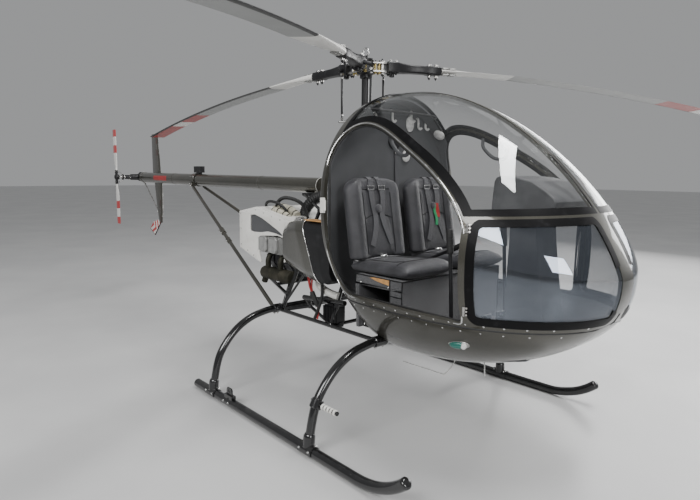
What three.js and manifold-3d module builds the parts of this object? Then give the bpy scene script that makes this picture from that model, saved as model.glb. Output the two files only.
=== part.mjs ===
// Light two-seat helicopter with a bubble cabin, three rotor blades, an open engine bay and skids.
// Millimetres. X points forward, Y to port, Z up. The floor is z = 0, the plane of symmetry y = 0.
// Stations (x) count from the rotor mast; one group moves the whole aircraft to its origin.
import * as THREE from 'three';
import { mergeVertices } from 'three/addons/utils/BufferGeometryUtils.js';
import Module from 'manifold-3d';

const wasm = await Module();
wasm.setup();

// Driving dimensions
const MAST_X = 1134; // from the origin, at mid-length on the floor, to the mast
const GAP = 0.3; // clearance between pieces that touch

const ROTOR = { radius: 3420, height: 2273, azimuth: 61.25, blades: 3, chord: 170, droop: 335 };
const TAIL_ROTOR = { radius: 560, x: -4040, y: -300, z: 1482, chord: 105 };

const POD = {
  nose: 1840, noseHeight: 1060, // foremost point
  wall: 22, // whole wall of the shells and frame
  rear: 225, rim: 280, // flat of the rear wall, widest point of its rounded edge
  sillRear: 800, sillFront: 830, // parting plane between belly and frame, at x = 300 and at the nose
  halfWidth: 640, widest: 800, rimHalfWidth: 605,
  top: 2060, topAt: 400, bottom: 458, bottomAt: 645, rimBottom: 717,
  beltRear: 1400,
};
const GLASS = { outset: 3, inset: 9 }; // depths of its two faces below the outer surface
const FRAME = { rimFront: 330, pillar: 1300, pillarWidth: 45, barLow: 1335, barHigh: 1358, barRise: 22,
  lowPost: 60, highPost: 14, sill: 28, sillRing: 40, cornerFront: 530, doorBand: 30 };

const BOOM = { radius: 60, wall: 2.5, front: -470, end: -3960, frontZ: 1455, endZ: 1481 };
const SKID = { halfTrack: 930, radius: 30, rear: -747, bendAt: 960, tip: 1300, tipZ: 153 };
const CROSS = { radius: 26, collar: 34, rear: -520, front: 570, top: 547 };
const FLOOR = { top: 620, thick: 20 };
const SEAT = { y: 262, width: 450, front: 860, back: 335, cushionRear: 372, cushionLow: 955,
  cushionHigh: 1070, top: 1530 };

// Paints and metals
const paint = (color, roughness, metalness) =>
  new THREE.MeshStandardMaterial({ color, roughness, metalness });
const BRONZE = paint(0x56554a, 0.35, 0.6);
const BLACK_GLOSS = paint(0x101112, 0.25, 0.1);
const BLACK_MATT = paint(0x17181a, 0.6, 0.1);
const GREY_INSIDE = paint(0x3a3b3c, 0.7, 0.0);
const WHITE = paint(0xd9d8d2, 0.5, 0.0);
const STEEL = paint(0xb4b2ac, 0.3, 0.9);
const CAST = paint(0x8a8a86, 0.5, 0.7);
const LEATHER = paint(0x26262a, 0.55, 0.0);
const CARPET = paint(0x35363a, 0.95, 0.0);
const BLADE = paint(0x9a9b9a, 0.4, 0.1);
const LAMP_GREEN = paint(0x1f8f5c, 0.1, 0.0);
const LAMP_RED = paint(0xb02a2a, 0.1, 0.0);
const CLEAR = new THREE.MeshStandardMaterial({
  color: 0x9fb0b5, roughness: 0.05, metalness: 0, transparent: true, opacity: 0.35,
});

// Solids: booleans, and the shapes that three.js has no class for
function toSolid(geometry) {
  const bare = geometry.clone();
  for (const name of Object.keys(bare.attributes)) if (name !== 'position') bare.deleteAttribute(name);
  const merged = mergeVertices(bare, 1e-3);
  return new wasm.Manifold(new wasm.Mesh({
    numProp: 3,
    vertProperties: Float32Array.from(merged.attributes.position.array),
    triVerts: Uint32Array.from(merged.index.array),
  }));
}

function toGeometry(solid) {
  const mesh = solid.getMesh();
  const geometry = new THREE.BufferGeometry();
  geometry.setAttribute('position', new THREE.BufferAttribute(Float32Array.from(mesh.vertProperties), 3));
  geometry.setIndex(new THREE.BufferAttribute(Uint32Array.from(mesh.triVerts), 1));
  geometry.computeVertexNormals();
  return geometry;
}

const combine = (step) => (...parts) => toGeometry(parts.map(toSolid).reduce(step));
const join = combine((body, tool) => body.add(tool));
const cut = combine((body, tool) => body.subtract(tool));
const common = combine((body, tool) => body.intersect(tool));

const vec = (x, y, z) => new THREE.Vector3(x, y, z);

function block([x0, x1], [y0, y1], [z0, z1]) {
  const box = new THREE.BoxGeometry(x1 - x0, y1 - y0, z1 - z0);
  return box.translate((x0 + x1) / 2, (y0 + y1) / 2, (z0 + z1) / 2);
}

// A round bar from point to point.
function rod(from, to, radius, sides = 10) {
  const along = to.clone().sub(from);
  const bar = new THREE.CylinderGeometry(radius, radius, along.length(), sides);
  bar.applyQuaternion(new THREE.Quaternion().setFromUnitVectors(vec(0, 1, 0), along.clone().normalize()));
  const middle = from.clone().add(to).multiplyScalar(0.5);
  return bar.translate(middle.x, middle.y, middle.z);
}

// A round tube along a path, and one bent smoothly through points.
function tubeAlong(extrudePath, radius, sides, steps) {
  const section = new THREE.Shape(Array.from({ length: sides }, (_, i) => {
    const a = (i / sides) * 2 * Math.PI;
    return new THREE.Vector2(radius * Math.cos(a), radius * Math.sin(a));
  }));
  return new THREE.ExtrudeGeometry(section, { steps, extrudePath, bevelEnabled: false });
}

const bentTube = (points, radius, sides, steps) =>
  tubeAlong(new THREE.CatmullRomCurve3(points, false, 'centripetal'), radius, sides, steps);

// A closed skin through rings of equal length, with a flat cap at each end.
function loft(rings) {
  const count = rings[0].length;
  const position = [];
  const index = [];
  for (const ring of rings) for (const p of ring) position.push(p.x, p.y, p.z);
  for (let i = 0; i + 1 < rings.length; i++) {
    for (let j = 0; j < count; j++) {
      const a = i * count + j;
      const b = i * count + (j + 1) % count;
      index.push(a, b, a + count, b, b + count, a + count);
    }
  }
  for (const [ring, flip] of [[rings[0], true], [rings.at(-1), false]]) {
    const centre = ring.reduce((sum, p) => sum.add(p), vec(0, 0, 0)).multiplyScalar(1 / count);
    const hub = position.length / 3;
    const first = flip ? 0 : (rings.length - 1) * count;
    position.push(centre.x, centre.y, centre.z);
    for (let j = 0; j < count; j++) {
      const a = first + j;
      const b = first + (j + 1) % count;
      index.push(...(flip ? [hub, b, a] : [hub, a, b]));
    }
  }
  const geometry = new THREE.BufferGeometry();
  geometry.setAttribute('position', new THREE.Float32BufferAttribute(position, 3));
  geometry.setIndex(index);
  return signedVolume(geometry) < 0 ? flipped(geometry) : geometry;
}

function signedVolume(geometry) {
  const { array } = geometry.attributes.position;
  const at = (i) => vec(array[3 * i], array[3 * i + 1], array[3 * i + 2]);
  let sum = 0;
  for (let i = 0; i < geometry.index.count; i += 3) {
    const [a, b, c] = [0, 1, 2].map((k) => at(geometry.index.array[i + k]));
    sum += a.dot(b.cross(c));
  }
  return sum;
}

function flipped(geometry) {
  const { array } = geometry.index;
  for (let i = 0; i < array.length; i += 3) [array[i], array[i + 1]] = [array[i + 1], array[i]];
  return geometry;
}

// A side-view outline (x, z) pushed through from y0 to y1.
function prism(outline, y0, y1) {
  const shape = outline instanceof THREE.Shape ? outline
    : new THREE.Shape(outline.map(([x, z]) => new THREE.Vector2(x, z)));
  const settings = { depth: y1 - y0, bevelEnabled: false, curveSegments: 5 };
  const geometry = new THREE.ExtrudeGeometry(shape, settings);
  return geometry.rotateX(Math.PI / 2).translate(0, y1, 0);
}

// The pod: one smooth egg, from which belly, rear wall, frame and glass are cut
function podSection(x) {
  const ahead = (from) => Math.min(1, Math.max(0, (x - from) / (POD.nose - from)));
  const behind = (from) => Math.max(0, (from - x) / (from - POD.rim));
  const halfWidth = x > POD.widest
    ? POD.halfWidth * Math.sqrt(1 - ahead(POD.widest) ** 3)
    : POD.halfWidth - (POD.halfWidth - POD.rimHalfWidth) * behind(POD.widest) ** 2;
  const top = x > POD.topAt
    ? POD.noseHeight + (POD.top - POD.noseHeight) * (1 - ahead(POD.topAt) ** 2) ** 0.77
    : POD.top - 20 * behind(POD.topAt) ** 2;
  const bottom = x > POD.bottomAt
    ? POD.noseHeight - (POD.noseHeight - POD.bottom) * (1 - ahead(POD.bottomAt) ** 2) ** 0.44
    : POD.bottom + (POD.rimBottom - POD.bottom) * behind(POD.bottomAt) ** 2.5;
  const belt = POD.noseHeight + (POD.beltRear - POD.noseHeight) * (1 - ahead(POD.rim)) ** 1.5;
  return { halfWidth, top, bottom, belt };
}

const POD_RING = 40; // points round a section

function podRing(x, scale = 1) {
  const { halfWidth, top, bottom, belt } = podSection(Math.max(x, POD.rim));
  return Array.from({ length: POD_RING }, (_, j) => {
    const a = (j / POD_RING) * 2 * Math.PI;
    const up = Math.sin(a) >= 0;
    const power = up ? 1 : 2 / 2.5;
    const y = halfWidth * Math.sign(Math.cos(a)) * Math.abs(Math.cos(a)) ** power;
    const z = (up ? top - belt : belt - bottom) * Math.sign(Math.sin(a)) * Math.abs(Math.sin(a)) ** power;
    return vec(x, y * scale, belt + z * scale);
  });
}

// Rings of the outer surface: rounded rear edge, then closer and closer towards the nose.
const REAR_EDGE = [[225, 0.5], [225.5, 0.86], [232, 0.925], [245, 0.965], [262, 0.99]]; // x, scale
const POD_STEPS = 15;
const outerRings = [
  ...REAR_EDGE.map(([x, scale]) => podRing(x, scale)),
  ...Array.from({ length: POD_STEPS }, (_, i) =>
    podRing(POD.rim + (POD.nose - 1 - POD.rim) * Math.sin((i / (POD_STEPS - 1)) * Math.PI / 2))),
];

// The same egg, its surface moved inwards by a depth.
function pod(depth) {
  const last = outerRings.length - 1;
  const rings = outerRings.map((ring, i) => ring.map((p, j) => {
    const next = outerRings[Math.min(i + 1, last)][j].clone();
    const along = next.sub(outerRings[Math.max(i - 1, 0)][j]);
    const around = ring[(j + 1) % POD_RING].clone().sub(ring[(j + POD_RING - 1) % POD_RING]);
    const outward = around.cross(along).normalize();
    if (i === 0) outward.set(-1, 0, 0);
    if (i === last) outward.set(1, 0, 0);
    return p.clone().addScaledVector(outward, -depth);
  }));
  return loft(rings);
}

const podOuter = pod(0);
const podInner = pod(POD.wall);
const podShell = cut(podOuter, podInner);
const podRoom = pod(POD.wall + GAP);
const inCabin = (geometry) => common(geometry, podRoom);
const podGlass = cut(pod(GLASS.outset), pod(GLASS.inset));

const FAR = 3000; // beyond everything, for cutting prisms
const sillAt = (x) => POD.sillRear + (POD.sillFront - POD.sillRear) * (x - 300) / (POD.nose - 300);
const slab = (low, high) => prism([[-500, sillAt(-500) + low], [FAR, sillAt(FAR) + low],
  [FAR, sillAt(FAR) + high], [-500, sillAt(-500) + high]], -FAR, FAR);

// Door opening in side view, hinged at the pillar and open here: both doors are off.
function doorOutline(grow) {
  const rear = 300 - grow;
  const top = 1858 + grow;
  const bottom = sillAt(800) + FRAME.sill - grow;
  const front = FRAME.pillar + grow;
  const shape = new THREE.Shape();
  shape.moveTo(rear + 210, bottom);
  shape.lineTo(front - 25, bottom);
  shape.quadraticCurveTo(front, bottom, front, bottom + 25);
  shape.lineTo(front, 1335);
  shape.bezierCurveTo(front - 45, 1480 + grow, front - 190, 1620 + grow, 930, 1690 + grow * 1.1);
  shape.bezierCurveTo(820, 1752 + grow, 650, top, 520, top);
  shape.bezierCurveTo(380, top, rear, 1760, rear, 1600);
  shape.lineTo(rear, 1080);
  shape.quadraticCurveTo(rear + 8, bottom, rear + 210, bottom);
  return shape;
}

const barTop = (x) => FRAME.barHigh + FRAME.barRise * (x - FRAME.pillar) / (POD.nose - FRAME.pillar);
const barBottom = (x) => barTop(x) - (FRAME.barHigh - FRAME.barLow);

// Space that one side's window areas take, each a little smaller all round for the pane itself.
const sideSpan = (side, inner) => (side > 0 ? [inner, FAR] : [-FAR, -inner]);

// Upper window: above the bar, ahead of the rim and outside the door opening.
function upperArea(side, gap = 0) {
  const rim = FRAME.rimFront + gap;
  const outline = [[rim, barTop(rim) + gap], [rim, FAR], [FAR, FAR], [FAR, barTop(FAR) + gap]];
  const span = sideSpan(side, FRAME.highPost + gap);
  return cut(prism(outline, ...span), prism(doorOutline(FRAME.doorBand + gap), ...span));
}

// Lower window: rounded pane between sill, pillar, bar and centre post.
function lowerArea(side, gap = 0) {
  const low = sillAt(FRAME.pillar) + FRAME.sill + gap;
  const rear = FRAME.pillar + FRAME.pillarWidth + gap;
  const high = (x) => barBottom(x) - gap;
  const r = 40;
  const shape = new THREE.Shape();
  shape.moveTo(rear + r, low);
  shape.lineTo(FAR, low + 45);
  shape.lineTo(FAR, high(FAR));
  shape.lineTo(rear + r, high(rear));
  shape.quadraticCurveTo(rear, high(rear), rear, high(rear) - r);
  shape.lineTo(rear, low + r);
  shape.quadraticCurveTo(rear, low, rear + r, low);
  return prism(shape, ...sideSpan(side, FRAME.lowPost + gap));
}

const upperWindow = (side) => common(podGlass, upperArea(side, GAP));
const lowerWindow = (side) => common(podGlass, lowerArea(side, GAP));

// The frame that holds the glass: what windows and doors leave of the shell, ahead of the rear wall.
function glazingFrame() {
  const region = common(podShell, slab(GAP, FAR), block([POD.rim - 30, FAR], [-FAR, FAR], [0, FAR]));
  const areas = [1, -1].flatMap((side) => [upperArea(side), lowerArea(side)]);
  return cut(region, prism(doorOutline(0), -FAR, FAR), ...areas);
}

// It comes in five pieces: sill ring, rear hoop, centre post and one side frame to each side.
const frame = glazingFrame();
const aboveSill = cut(frame, slab(-FAR, FRAME.sillRing + GAP));
const hoopZone = (grow) => join(
  block([-FAR, FRAME.rimFront + grow], [-FAR, FAR], [0, FAR]),
  block([-FAR, FRAME.cornerFront + grow], [-FAR, FAR], [0, 1300 + grow]),
);

function postZone(grow) {
  const rear = FRAME.rimFront + GAP;
  const below = prism([[rear, 0], [FAR, 0], [FAR, barTop(FAR) + grow], [rear, barTop(rear) + grow]],
    -FRAME.lowPost - grow, FRAME.lowPost + grow);
  return join(below, block([rear, FAR], [-FRAME.highPost - grow, FRAME.highPost + grow], [1000, FAR]));
}

const sillFrame = () => common(frame, slab(-FAR, FRAME.sillRing));
const hoopFrame = () => common(aboveSill, hoopZone(0));
const centrePost = () => common(aboveSill, postZone(0));
const besidePost = cut(aboveSill, hoopZone(GAP), postZone(GAP));
const sideFrame = (side) => common(besidePost, block([0, FAR], sideSpan(side, 0), [0, FAR]));

function rearShell() {
  return common(podShell, slab(GAP, FAR), block([-FAR, POD.rim - 30 - GAP], [-FAR, FAR], [0, FAR]));
}

function crossTubePoints(x) {
  const arch = [[922, 64], [915, 130], [880, 268], [816, 370], [727, 455], [619, 512], [500, 540],
    [390, CROSS.top], [130, CROSS.top]];
  const port = arch.map(([y, z]) => vec(x, y, z));
  return [...port, ...port.toReversed().map((p) => vec(x, -p.y, p.z))];
}

function bellyShell() {
  const shell = common(podShell, slab(-FAR, 0));
  const { front: x, top: z } = CROSS;
  const tubeHole = rod(vec(x, -FAR, z), vec(x, FAR, z), CROSS.collar + GAP, 16);
  return cut(shell, tubeHole);
}

function cabinFloor() {
  const low = FLOOR.top - FLOOR.thick;
  return inCabin(block([0, FAR], [-FAR, FAR], [low, FLOOR.top]));
}

// Seats and controls
const roundedBox = (w, d, h, r) => {
  const shape = new THREE.Shape();
  shape.moveTo(-w / 2 + r, -d / 2);
  shape.lineTo(w / 2 - r, -d / 2);
  shape.quadraticCurveTo(w / 2, -d / 2, w / 2, -d / 2 + r);
  shape.lineTo(w / 2, d / 2 - r);
  shape.quadraticCurveTo(w / 2, d / 2, w / 2 - r, d / 2);
  shape.lineTo(-w / 2 + r, d / 2);
  shape.quadraticCurveTo(-w / 2, d / 2, -w / 2, d / 2 - r);
  shape.lineTo(-w / 2, -d / 2 + r);
  shape.quadraticCurveTo(-w / 2, -d / 2, -w / 2 + r, -d / 2);
  return new THREE.ExtrudeGeometry(shape, { depth: h, bevelEnabled: false, curveSegments: 4 });
};

function seatBack(side) {
  const height = SEAT.top - SEAT.cushionHigh + 40;
  const panel = roundedBox(SEAT.width, height, 84, 90).rotateX(Math.PI / 2).rotateZ(Math.PI / 2);
  const leaning = panel.translate(-84, 0, 0).rotateY(-0.07);
  return leaning.translate(SEAT.back + 5, side * SEAT.y, (SEAT.top + SEAT.cushionHigh - 40) / 2 + 3);
}

function seatCushion(side) {
  const { cushionRear: rear, cushionLow: low, cushionHigh: high, front, width, y } = SEAT;
  return roundedBox(front - rear, width, high - low, 60).translate((front + rear) / 2, side * y, low);
}

// Riser under both cushions, with a stowage bay open to each door.
function seatRiser() {
  const outer = block([440, 820], [-465, 465], [FLOOR.top + GAP, SEAT.cushionLow - GAP]);
  const bays = [1, -1].map((side) => block([470, 720], side > 0 ? [60, 700] : [-700, -60],
    [FLOOR.top + 30, SEAT.cushionLow - 60]));
  return inCabin(cut(outer, ...bays));
}

// Instrument hood on its pedestal.
function console() {
  const hood = prism([[1190, 1330], [1205, 1525], [1240, 1545], [1420, 1520], [1560, 1430], [1560, 1395],
    [1400, 1300]], -200, 200);
  const foot = FLOOR.top + GAP;
  const stand = prism([[1230, foot], [1500, foot], [1400, 1310], [1250, 1340]], -110, 110);
  return inCabin(join(hood, stand));
}

// Both sticks on one torque tube along the floor.
function cyclics() {
  const sticks = [1, -1].flatMap((side) => {
    const y = side * SEAT.y;
    return [
      rod(vec(1010, y, FLOOR.top + 24), vec(985, y, 1130), 11),
      rod(vec(985.5, y, 1120), vec(975, y, 1250), 19),
      block([985, 1035], [y - 25, y + 25], [FLOOR.top + GAP, FLOOR.top + 40]),
    ];
  });
  return join(rod(vec(1010, -SEAT.y, FLOOR.top + 24), vec(1010, SEAT.y, FLOOR.top + 24), 13), ...sticks);
}

// Collective lever between the seats, pivoted on the riser.
const collective = () => join(
  block([500, 560], [-14, 14], [SEAT.cushionLow, SEAT.cushionLow + 50]),
  rod(vec(530, 0, SEAT.cushionLow + 25), vec(800, 0, 1100), 10),
  rod(vec(790, 0, 1094), vec(905, 0, 1152), 17),
);

function pedals(side) {
  const y = side * 215;
  const pair = [y - 62, y + 62].flatMap((at) => [
    rod(vec(1300, at, FLOOR.top + 26), vec(1250, at, FLOOR.top + 150), 9),
    block([1238, 1256], [at - 36, at + 36], [FLOOR.top + 120, FLOOR.top + 205]),
  ]);
  return join(
    rod(vec(1300, y - 85, FLOOR.top + 26), vec(1300, y + 85, FLOOR.top + 26), 10),
    block([1282, 1318], [y - 20, y + 20], [FLOOR.top + GAP, FLOOR.top + 30]),
    ...pair,
  );
}

// Engine bay
const TRUSS = { r: 14, side: 400, deckZ: 1285, deckY: 165, deckRear: -290, deckFront: 168 };

function trussFrame() {
  const r = TRUSS.r;
  const z = CROSS.top;
  const rearEnd = CROSS.rear + CROSS.radius + GAP;
  const frontEnd = CROSS.front - CROSS.collar - GAP;
  const bars = [];
  for (const side of [1, -1]) {
    const at = (x, y, height) => vec(x, side * y, height);
    bars.push(
      rod(at(rearEnd, TRUSS.side, z), at(frontEnd, TRUSS.side, z), r),
      rod(at(-440, 398, z), at(TRUSS.deckRear, TRUSS.deckY, TRUSS.deckZ), r),
      rod(at(120, 398, z), at(TRUSS.deckFront, TRUSS.deckY, TRUSS.deckZ), r),
      rod(at(-440, 398, z), at(-230, 300, 600), r - 2),
      rod(at(-230, 300, 600), at(140, 398, z), r - 2),
      rod(at(TRUSS.deckRear, TRUSS.deckY, TRUSS.deckZ), at(TRUSS.deckFront, TRUSS.deckY, TRUSS.deckZ), r),
      rod(at(-417, 363, 658), at(-1010, 170, 715), r),
      rod(at(TRUSS.deckRear, TRUSS.deckY, TRUSS.deckZ), at(-640, 40, boomZ(-640) - 76), r - 2),
    );
  }
  const across = [[-440, 398, z], [120, 398, z], [-1010, 170, 715], [-700, 271, 685],
    [TRUSS.deckRear, TRUSS.deckY, TRUSS.deckZ], [TRUSS.deckFront, TRUSS.deckY, TRUSS.deckZ]];
  for (const [x, y, height] of across) bars.push(rod(vec(x, -y, height), vec(x, y, height), r - 1));
  const saddle = boomZ(-600) - BOOM.radius - GAP;
  bars.push(block([-655, -560], [-55, 55], [saddle - 22, saddle]));
  return join(...bars);
}

const COWL = { outer: 352, inner: 338 };
const GEARBOX_DRIVE = -328;
const HEADS = [-740, -575];

function engineBlock() {
  const heads = [1, -1].flatMap((side) => HEADS.map((x) => block([x - 72, x + 72],
    side > 0 ? [150, COWL.inner - GAP] : [-COWL.inner + GAP, -150], [925, 1075])));
  return join(
    block([-1010, -470], [-160, 160], [742, 1130]),
    block([-470.5, GEARBOX_DRIVE - GAP], [-110, 110], [850, 1060]),
    block([-1024, -985], [-150, 150], [728 + GAP, 745]),
    block([-718, -682], [-140, 140], [698 + GAP, 745]),
    ...heads,
  );
}

// White cooling shroud over the engine, open below, behind and ahead.
const COWL_OUTLINE = [[-1110, 945], [-1110, 1240], [-860, 1285], [-400, 1200], [-480, 880], [-640, 835],
  [-860, 868]];

function engineCowl() {
  const inside = [[-1095, 500], [-1095, 1228], [-860, 1270], [-418, 1190], [-470, 880], [-470, 500]];
  const openRear = block([-1200, -1000], [-240, 240], [0, 1180]);
  const openFront = block([-560, -100], [-250, 250], [0, 1160]);
  const hollow = prism(inside, -COWL.inner, COWL.inner);
  return cut(prism(COWL_OUTLINE, -COWL.outer, COWL.outer), hollow, openRear, openFront);
}

// Air duct arched over the cowl's top, on the starboard side.
function intakeDuct() {
  const y = -210;
  const duct = bentTube([vec(-760, y, 1220), vec(-760, y, 1350), vec(-690, y, 1400), vec(-600, y + 10, 1404),
    vec(-500, y + 30, 1385), vec(-455, y + 40, 1320), vec(-445, y + 45, 1180)], 32, 8, 18);
  return cut(duct, prism(COWL_OUTLINE.map(([x, z]) => [x, z + GAP]), -COWL.outer, COWL.outer));
}

// Muffler under the starboard heads, its two pipes and its outlet.
function exhaust() {
  const y = -316;
  const pipes = HEADS.map((x) => rod(vec(x, y + 16, 778), vec(x, y + 16, 925 - GAP), 21));
  return join(
    rod(vec(-800, y, 778), vec(-420, y, 778), 50, 14),
    rod(vec(-770, y, 765), vec(-800, y, 700), 24),
    ...pipes,
  );
}

// Side fairing with the fuel tank: x, outer y, low z, high z of each ring.
const TANK_RINGS = [[-395, 425, 905, 1180], [-300, 452, 880, 1215], [-120, 497, 845, 1238],
  [-30, 508, 835, 1242], [120, 520, 835, 1243], [POD.rear - GAP, 505, 860, 1243]];
const TANK_INNER = 345;

const fuelTank = (side) => loft(TANK_RINGS.map(([x, outer, low, high]) => [
  [TANK_INNER, low], [outer - 30, low], [outer, low + 60], [outer, high - 60], [outer - 25, high - 8],
  [TANK_INNER, high],
].map(([y, z]) => vec(x, side * y, z))));

function gearbox() {
  return join(
    rod(vec(0, 0, 900), vec(0, 0, 1360), 128, 20),
    rod(vec(0, 0, 1359), vec(0, 0, 1470), 80, 20),
    rod(vec(0, 0, 1469), vec(0, 0, 1640), 48, 16),
    rod(vec(GEARBOX_DRIVE, 0, 960), vec(-100, 0, 960), 62, 14),
    block([-160, 60], [-182, 182], [1245, TRUSS.deckZ - TRUSS.r - GAP]),
  );
}

function fixedSwash() {
  const hole = rod(vec(0, 0, 1500), vec(0, 0, 2000), 30.5, 16);
  const sleeve = rod(vec(0, 0, 1640 + GAP), vec(0, 0, 1892), 42, 16);
  const disc = rod(vec(0, 0, 1862), vec(0, 0, 1892), 128, 24);
  const arms = [90, 210, 330].map((deg) => {
    const a = THREE.MathUtils.degToRad(deg);
    return rod(vec(0, 0, 1872).add(vec(Math.cos(a), Math.sin(a), 0).multiplyScalar(60)),
      vec(Math.cos(a), Math.sin(a), 0).multiplyScalar(146).setZ(1872), 10, 8);
  });
  return cut(join(sleeve, disc, ...arms), hole);
}

// Tail
const boomZ = (x) => BOOM.frontZ + (BOOM.endZ - BOOM.frontZ) * (x - BOOM.front) / (BOOM.end - BOOM.front);
const boomPoint = (x) => vec(x, 0, boomZ(x));
const boomSolid = (radius, from = BOOM.front, to = BOOM.end) =>
  rod(boomPoint(from), boomPoint(to), radius, 24);

const CLAMP_X = -2540;

function clampLug(side, grow) {
  const y = [30 - grow, 74 + grow].map((at) => side * at).sort((a, b) => a - b);
  const z = boomZ(CLAMP_X);
  return block([CLAMP_X - 22 - grow, CLAMP_X + 22 + grow], y, [z - 66 - grow, z - 22 + grow]);
}

function tailBoom() {
  const band = boomSolid(BOOM.radius + 9, CLAMP_X + 42, CLAMP_X - 42);
  const lugs = [1, -1].map((side) => clampLug(side, 0));
  const bore = boomSolid(BOOM.radius - BOOM.wall, BOOM.front + 50, BOOM.end - 50);
  return cut(join(boomSolid(BOOM.radius), band, ...lugs), bore);
}

function boomStrut(side) {
  const foot = vec(CROSS.rear, side * 415, CROSS.top);
  const head = vec(CLAMP_X - 5, side * 56, boomZ(CLAMP_X) - 62);
  const along = (t) => foot.clone().lerp(head, t);
  const strut = join(rod(foot, head, 16), rod(along(0.5), along(0.54), 23));
  const band = boomSolid(BOOM.radius + 9 + GAP, CLAMP_X + 42 + GAP, CLAMP_X - 42 - GAP);
  const crossTubeRoom = bentTube(crossTubePoints(CROSS.rear), CROSS.radius + GAP, 10, 40);
  return cut(strut, band, clampLug(side, GAP), crossTubeRoom);
}

const fin = (bottom, top, thickness) => {
  const ring = ([x, z, chord]) => Array.from({ length: 10 }, (_, i) => {
    const a = (i / 10) * 2 * Math.PI;
    return vec(x + (chord / 2) * Math.cos(a), (thickness / 2) * Math.sin(a), z);
  });
  return cut(loft([ring(bottom), ring(top)]), boomSolid(BOOM.radius + GAP));
};

const FIN_X = -3490;
const upperFin = () => fin([FIN_X - 75, 1490, 225], [FIN_X - 103, 1985, 175], 20);

// Lower fin with the pointed guard under it, its brace from the boom's end and the wire ahead of it.
function lowerFin() {
  const guard = new THREE.Shape([[-316, 870], [-215, 955], [-80, 985], [-15, 955], [-186, 800]]
    .map(([dx, z]) => new THREE.Vector2(FIN_X + dx, z)));
  const boomEnd = vec(BOOM.end + 22, 0, boomZ(BOOM.end) - 67);
  return join(
    fin([FIN_X - 12, 955, 95], [FIN_X - 40, 1470, 225], 20),
    prism(guard, -7, 7),
    rod(boomEnd, vec(FIN_X - 60, 0, 1085), 7, 8),
    rod(vec(FIN_X + 70, 0, boomZ(FIN_X) - 61), vec(FIN_X + 56, 0, 1050), 6, 8),
    rod(vec(FIN_X + 56, 0, 1050), vec(FIN_X - 20, 0, 980), 6, 8),
  );
}

function stabiliser() {
  const ring = (y, chord) => Array.from({ length: 12 }, (_, i) => {
    const a = (i / 12) * 2 * Math.PI;
    return vec(FIN_X + 90 + (chord / 2) * Math.cos(a), y, boomZ(FIN_X) + 9 * Math.sin(a));
  });
  return cut(loft([ring(20, 190), ring(540, 150)]), boomSolid(BOOM.radius + GAP));
}

function tailGearbox() {
  const z = TAIL_ROTOR.z;
  return join(
    rod(vec(BOOM.end - GAP, 0, z), vec(-4000, 0, z), 58, 16),
    rod(vec(-3999, 0, z), vec(-4085, 0, z), 50, 16),
    rod(vec(TAIL_ROTOR.x, 0, z), vec(TAIL_ROTOR.x, -150, z), 36, 14),
    rod(vec(TAIL_ROTOR.x, -149, z), vec(TAIL_ROTOR.x, -200, z), 26, 14),
    rod(vec(TAIL_ROTOR.x, 0, z), vec(TAIL_ROTOR.x, 0, z + 62), 30, 12),
  );
}

// Landing gear
function skidTube(side, grow = 0) {
  const at = (x, z) => vec(x, side * SKID.halfTrack, z);
  const path = new THREE.CurvePath();
  path.add(new THREE.LineCurve3(at(SKID.rear, SKID.radius), at(SKID.bendAt, SKID.radius)));
  path.add(new THREE.QuadraticBezierCurve3(at(SKID.bendAt, SKID.radius), at(1160, SKID.radius),
    at(SKID.tip, SKID.tipZ)));
  return tubeAlong(path, SKID.radius + grow, 12, 34);
}

// Arched tube with a sleeve that saddles each skid.
function crossTube(x) {
  const sleeves = [1, -1].map((side) => rod(vec(x, side * 925, SKID.radius), vec(x, side * 918, 122),
    CROSS.radius + 8, 16));
  const grooves = [1, -1].map((side) => skidTube(side, GAP));
  return cut(join(bentTube(crossTubePoints(x), CROSS.radius, 10, 40), ...sleeves), ...grooves);
}

// Skid tube with the bracket for its ground wheel.
const skid = (side) => join(
  skidTube(side),
  block([-340, -240], [side * SKID.halfTrack - 16, side * SKID.halfTrack + 16], [2 * SKID.radius - 6, 82]),
  block([-325, -257], [side * SKID.halfTrack - 5, side * SKID.halfTrack + 5], [81, 128]),
);

// Front cross tube with the ribbed step peg of each door.
function frontCrossTube() {
  const pegs = [1, -1].flatMap((side) => {
    const y = side * 872;
    const z = 281;
    const rib = (x) => rod(vec(x, y, z), vec(x + 9, y, z), 17, 12);
    return [
      rod(vec(CROSS.front, side * 345, CROSS.top), vec(CROSS.front, side * 440, CROSS.top), CROSS.collar, 16),
      rod(vec(CROSS.front, side * 886, 257), vec(CROSS.front, side * 858, 305), CROSS.radius + 10, 14),
      rod(vec(CROSS.front + 20, y, z), vec(CROSS.front + 180, y, z), 9, 10),
      ...[55, 80, 105, 130, 155].map((dx) => rib(CROSS.front + dx)),
    ];
  });
  return join(crossTube(CROSS.front), ...pegs);
}

// Lamps
function navLight(side) {
  const lens = new THREE.SphereGeometry(1, 16, 10).scale(52, 40, 26).rotateY(0.12);
  return cut(lens.translate(1239, side * 490, 706), pod(-GAP));
}

// Main rotor, drawn with its first arm along +X and its plane at z = 0
const ARM = { strap: 150, grip: 545, root: 1067 };

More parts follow.
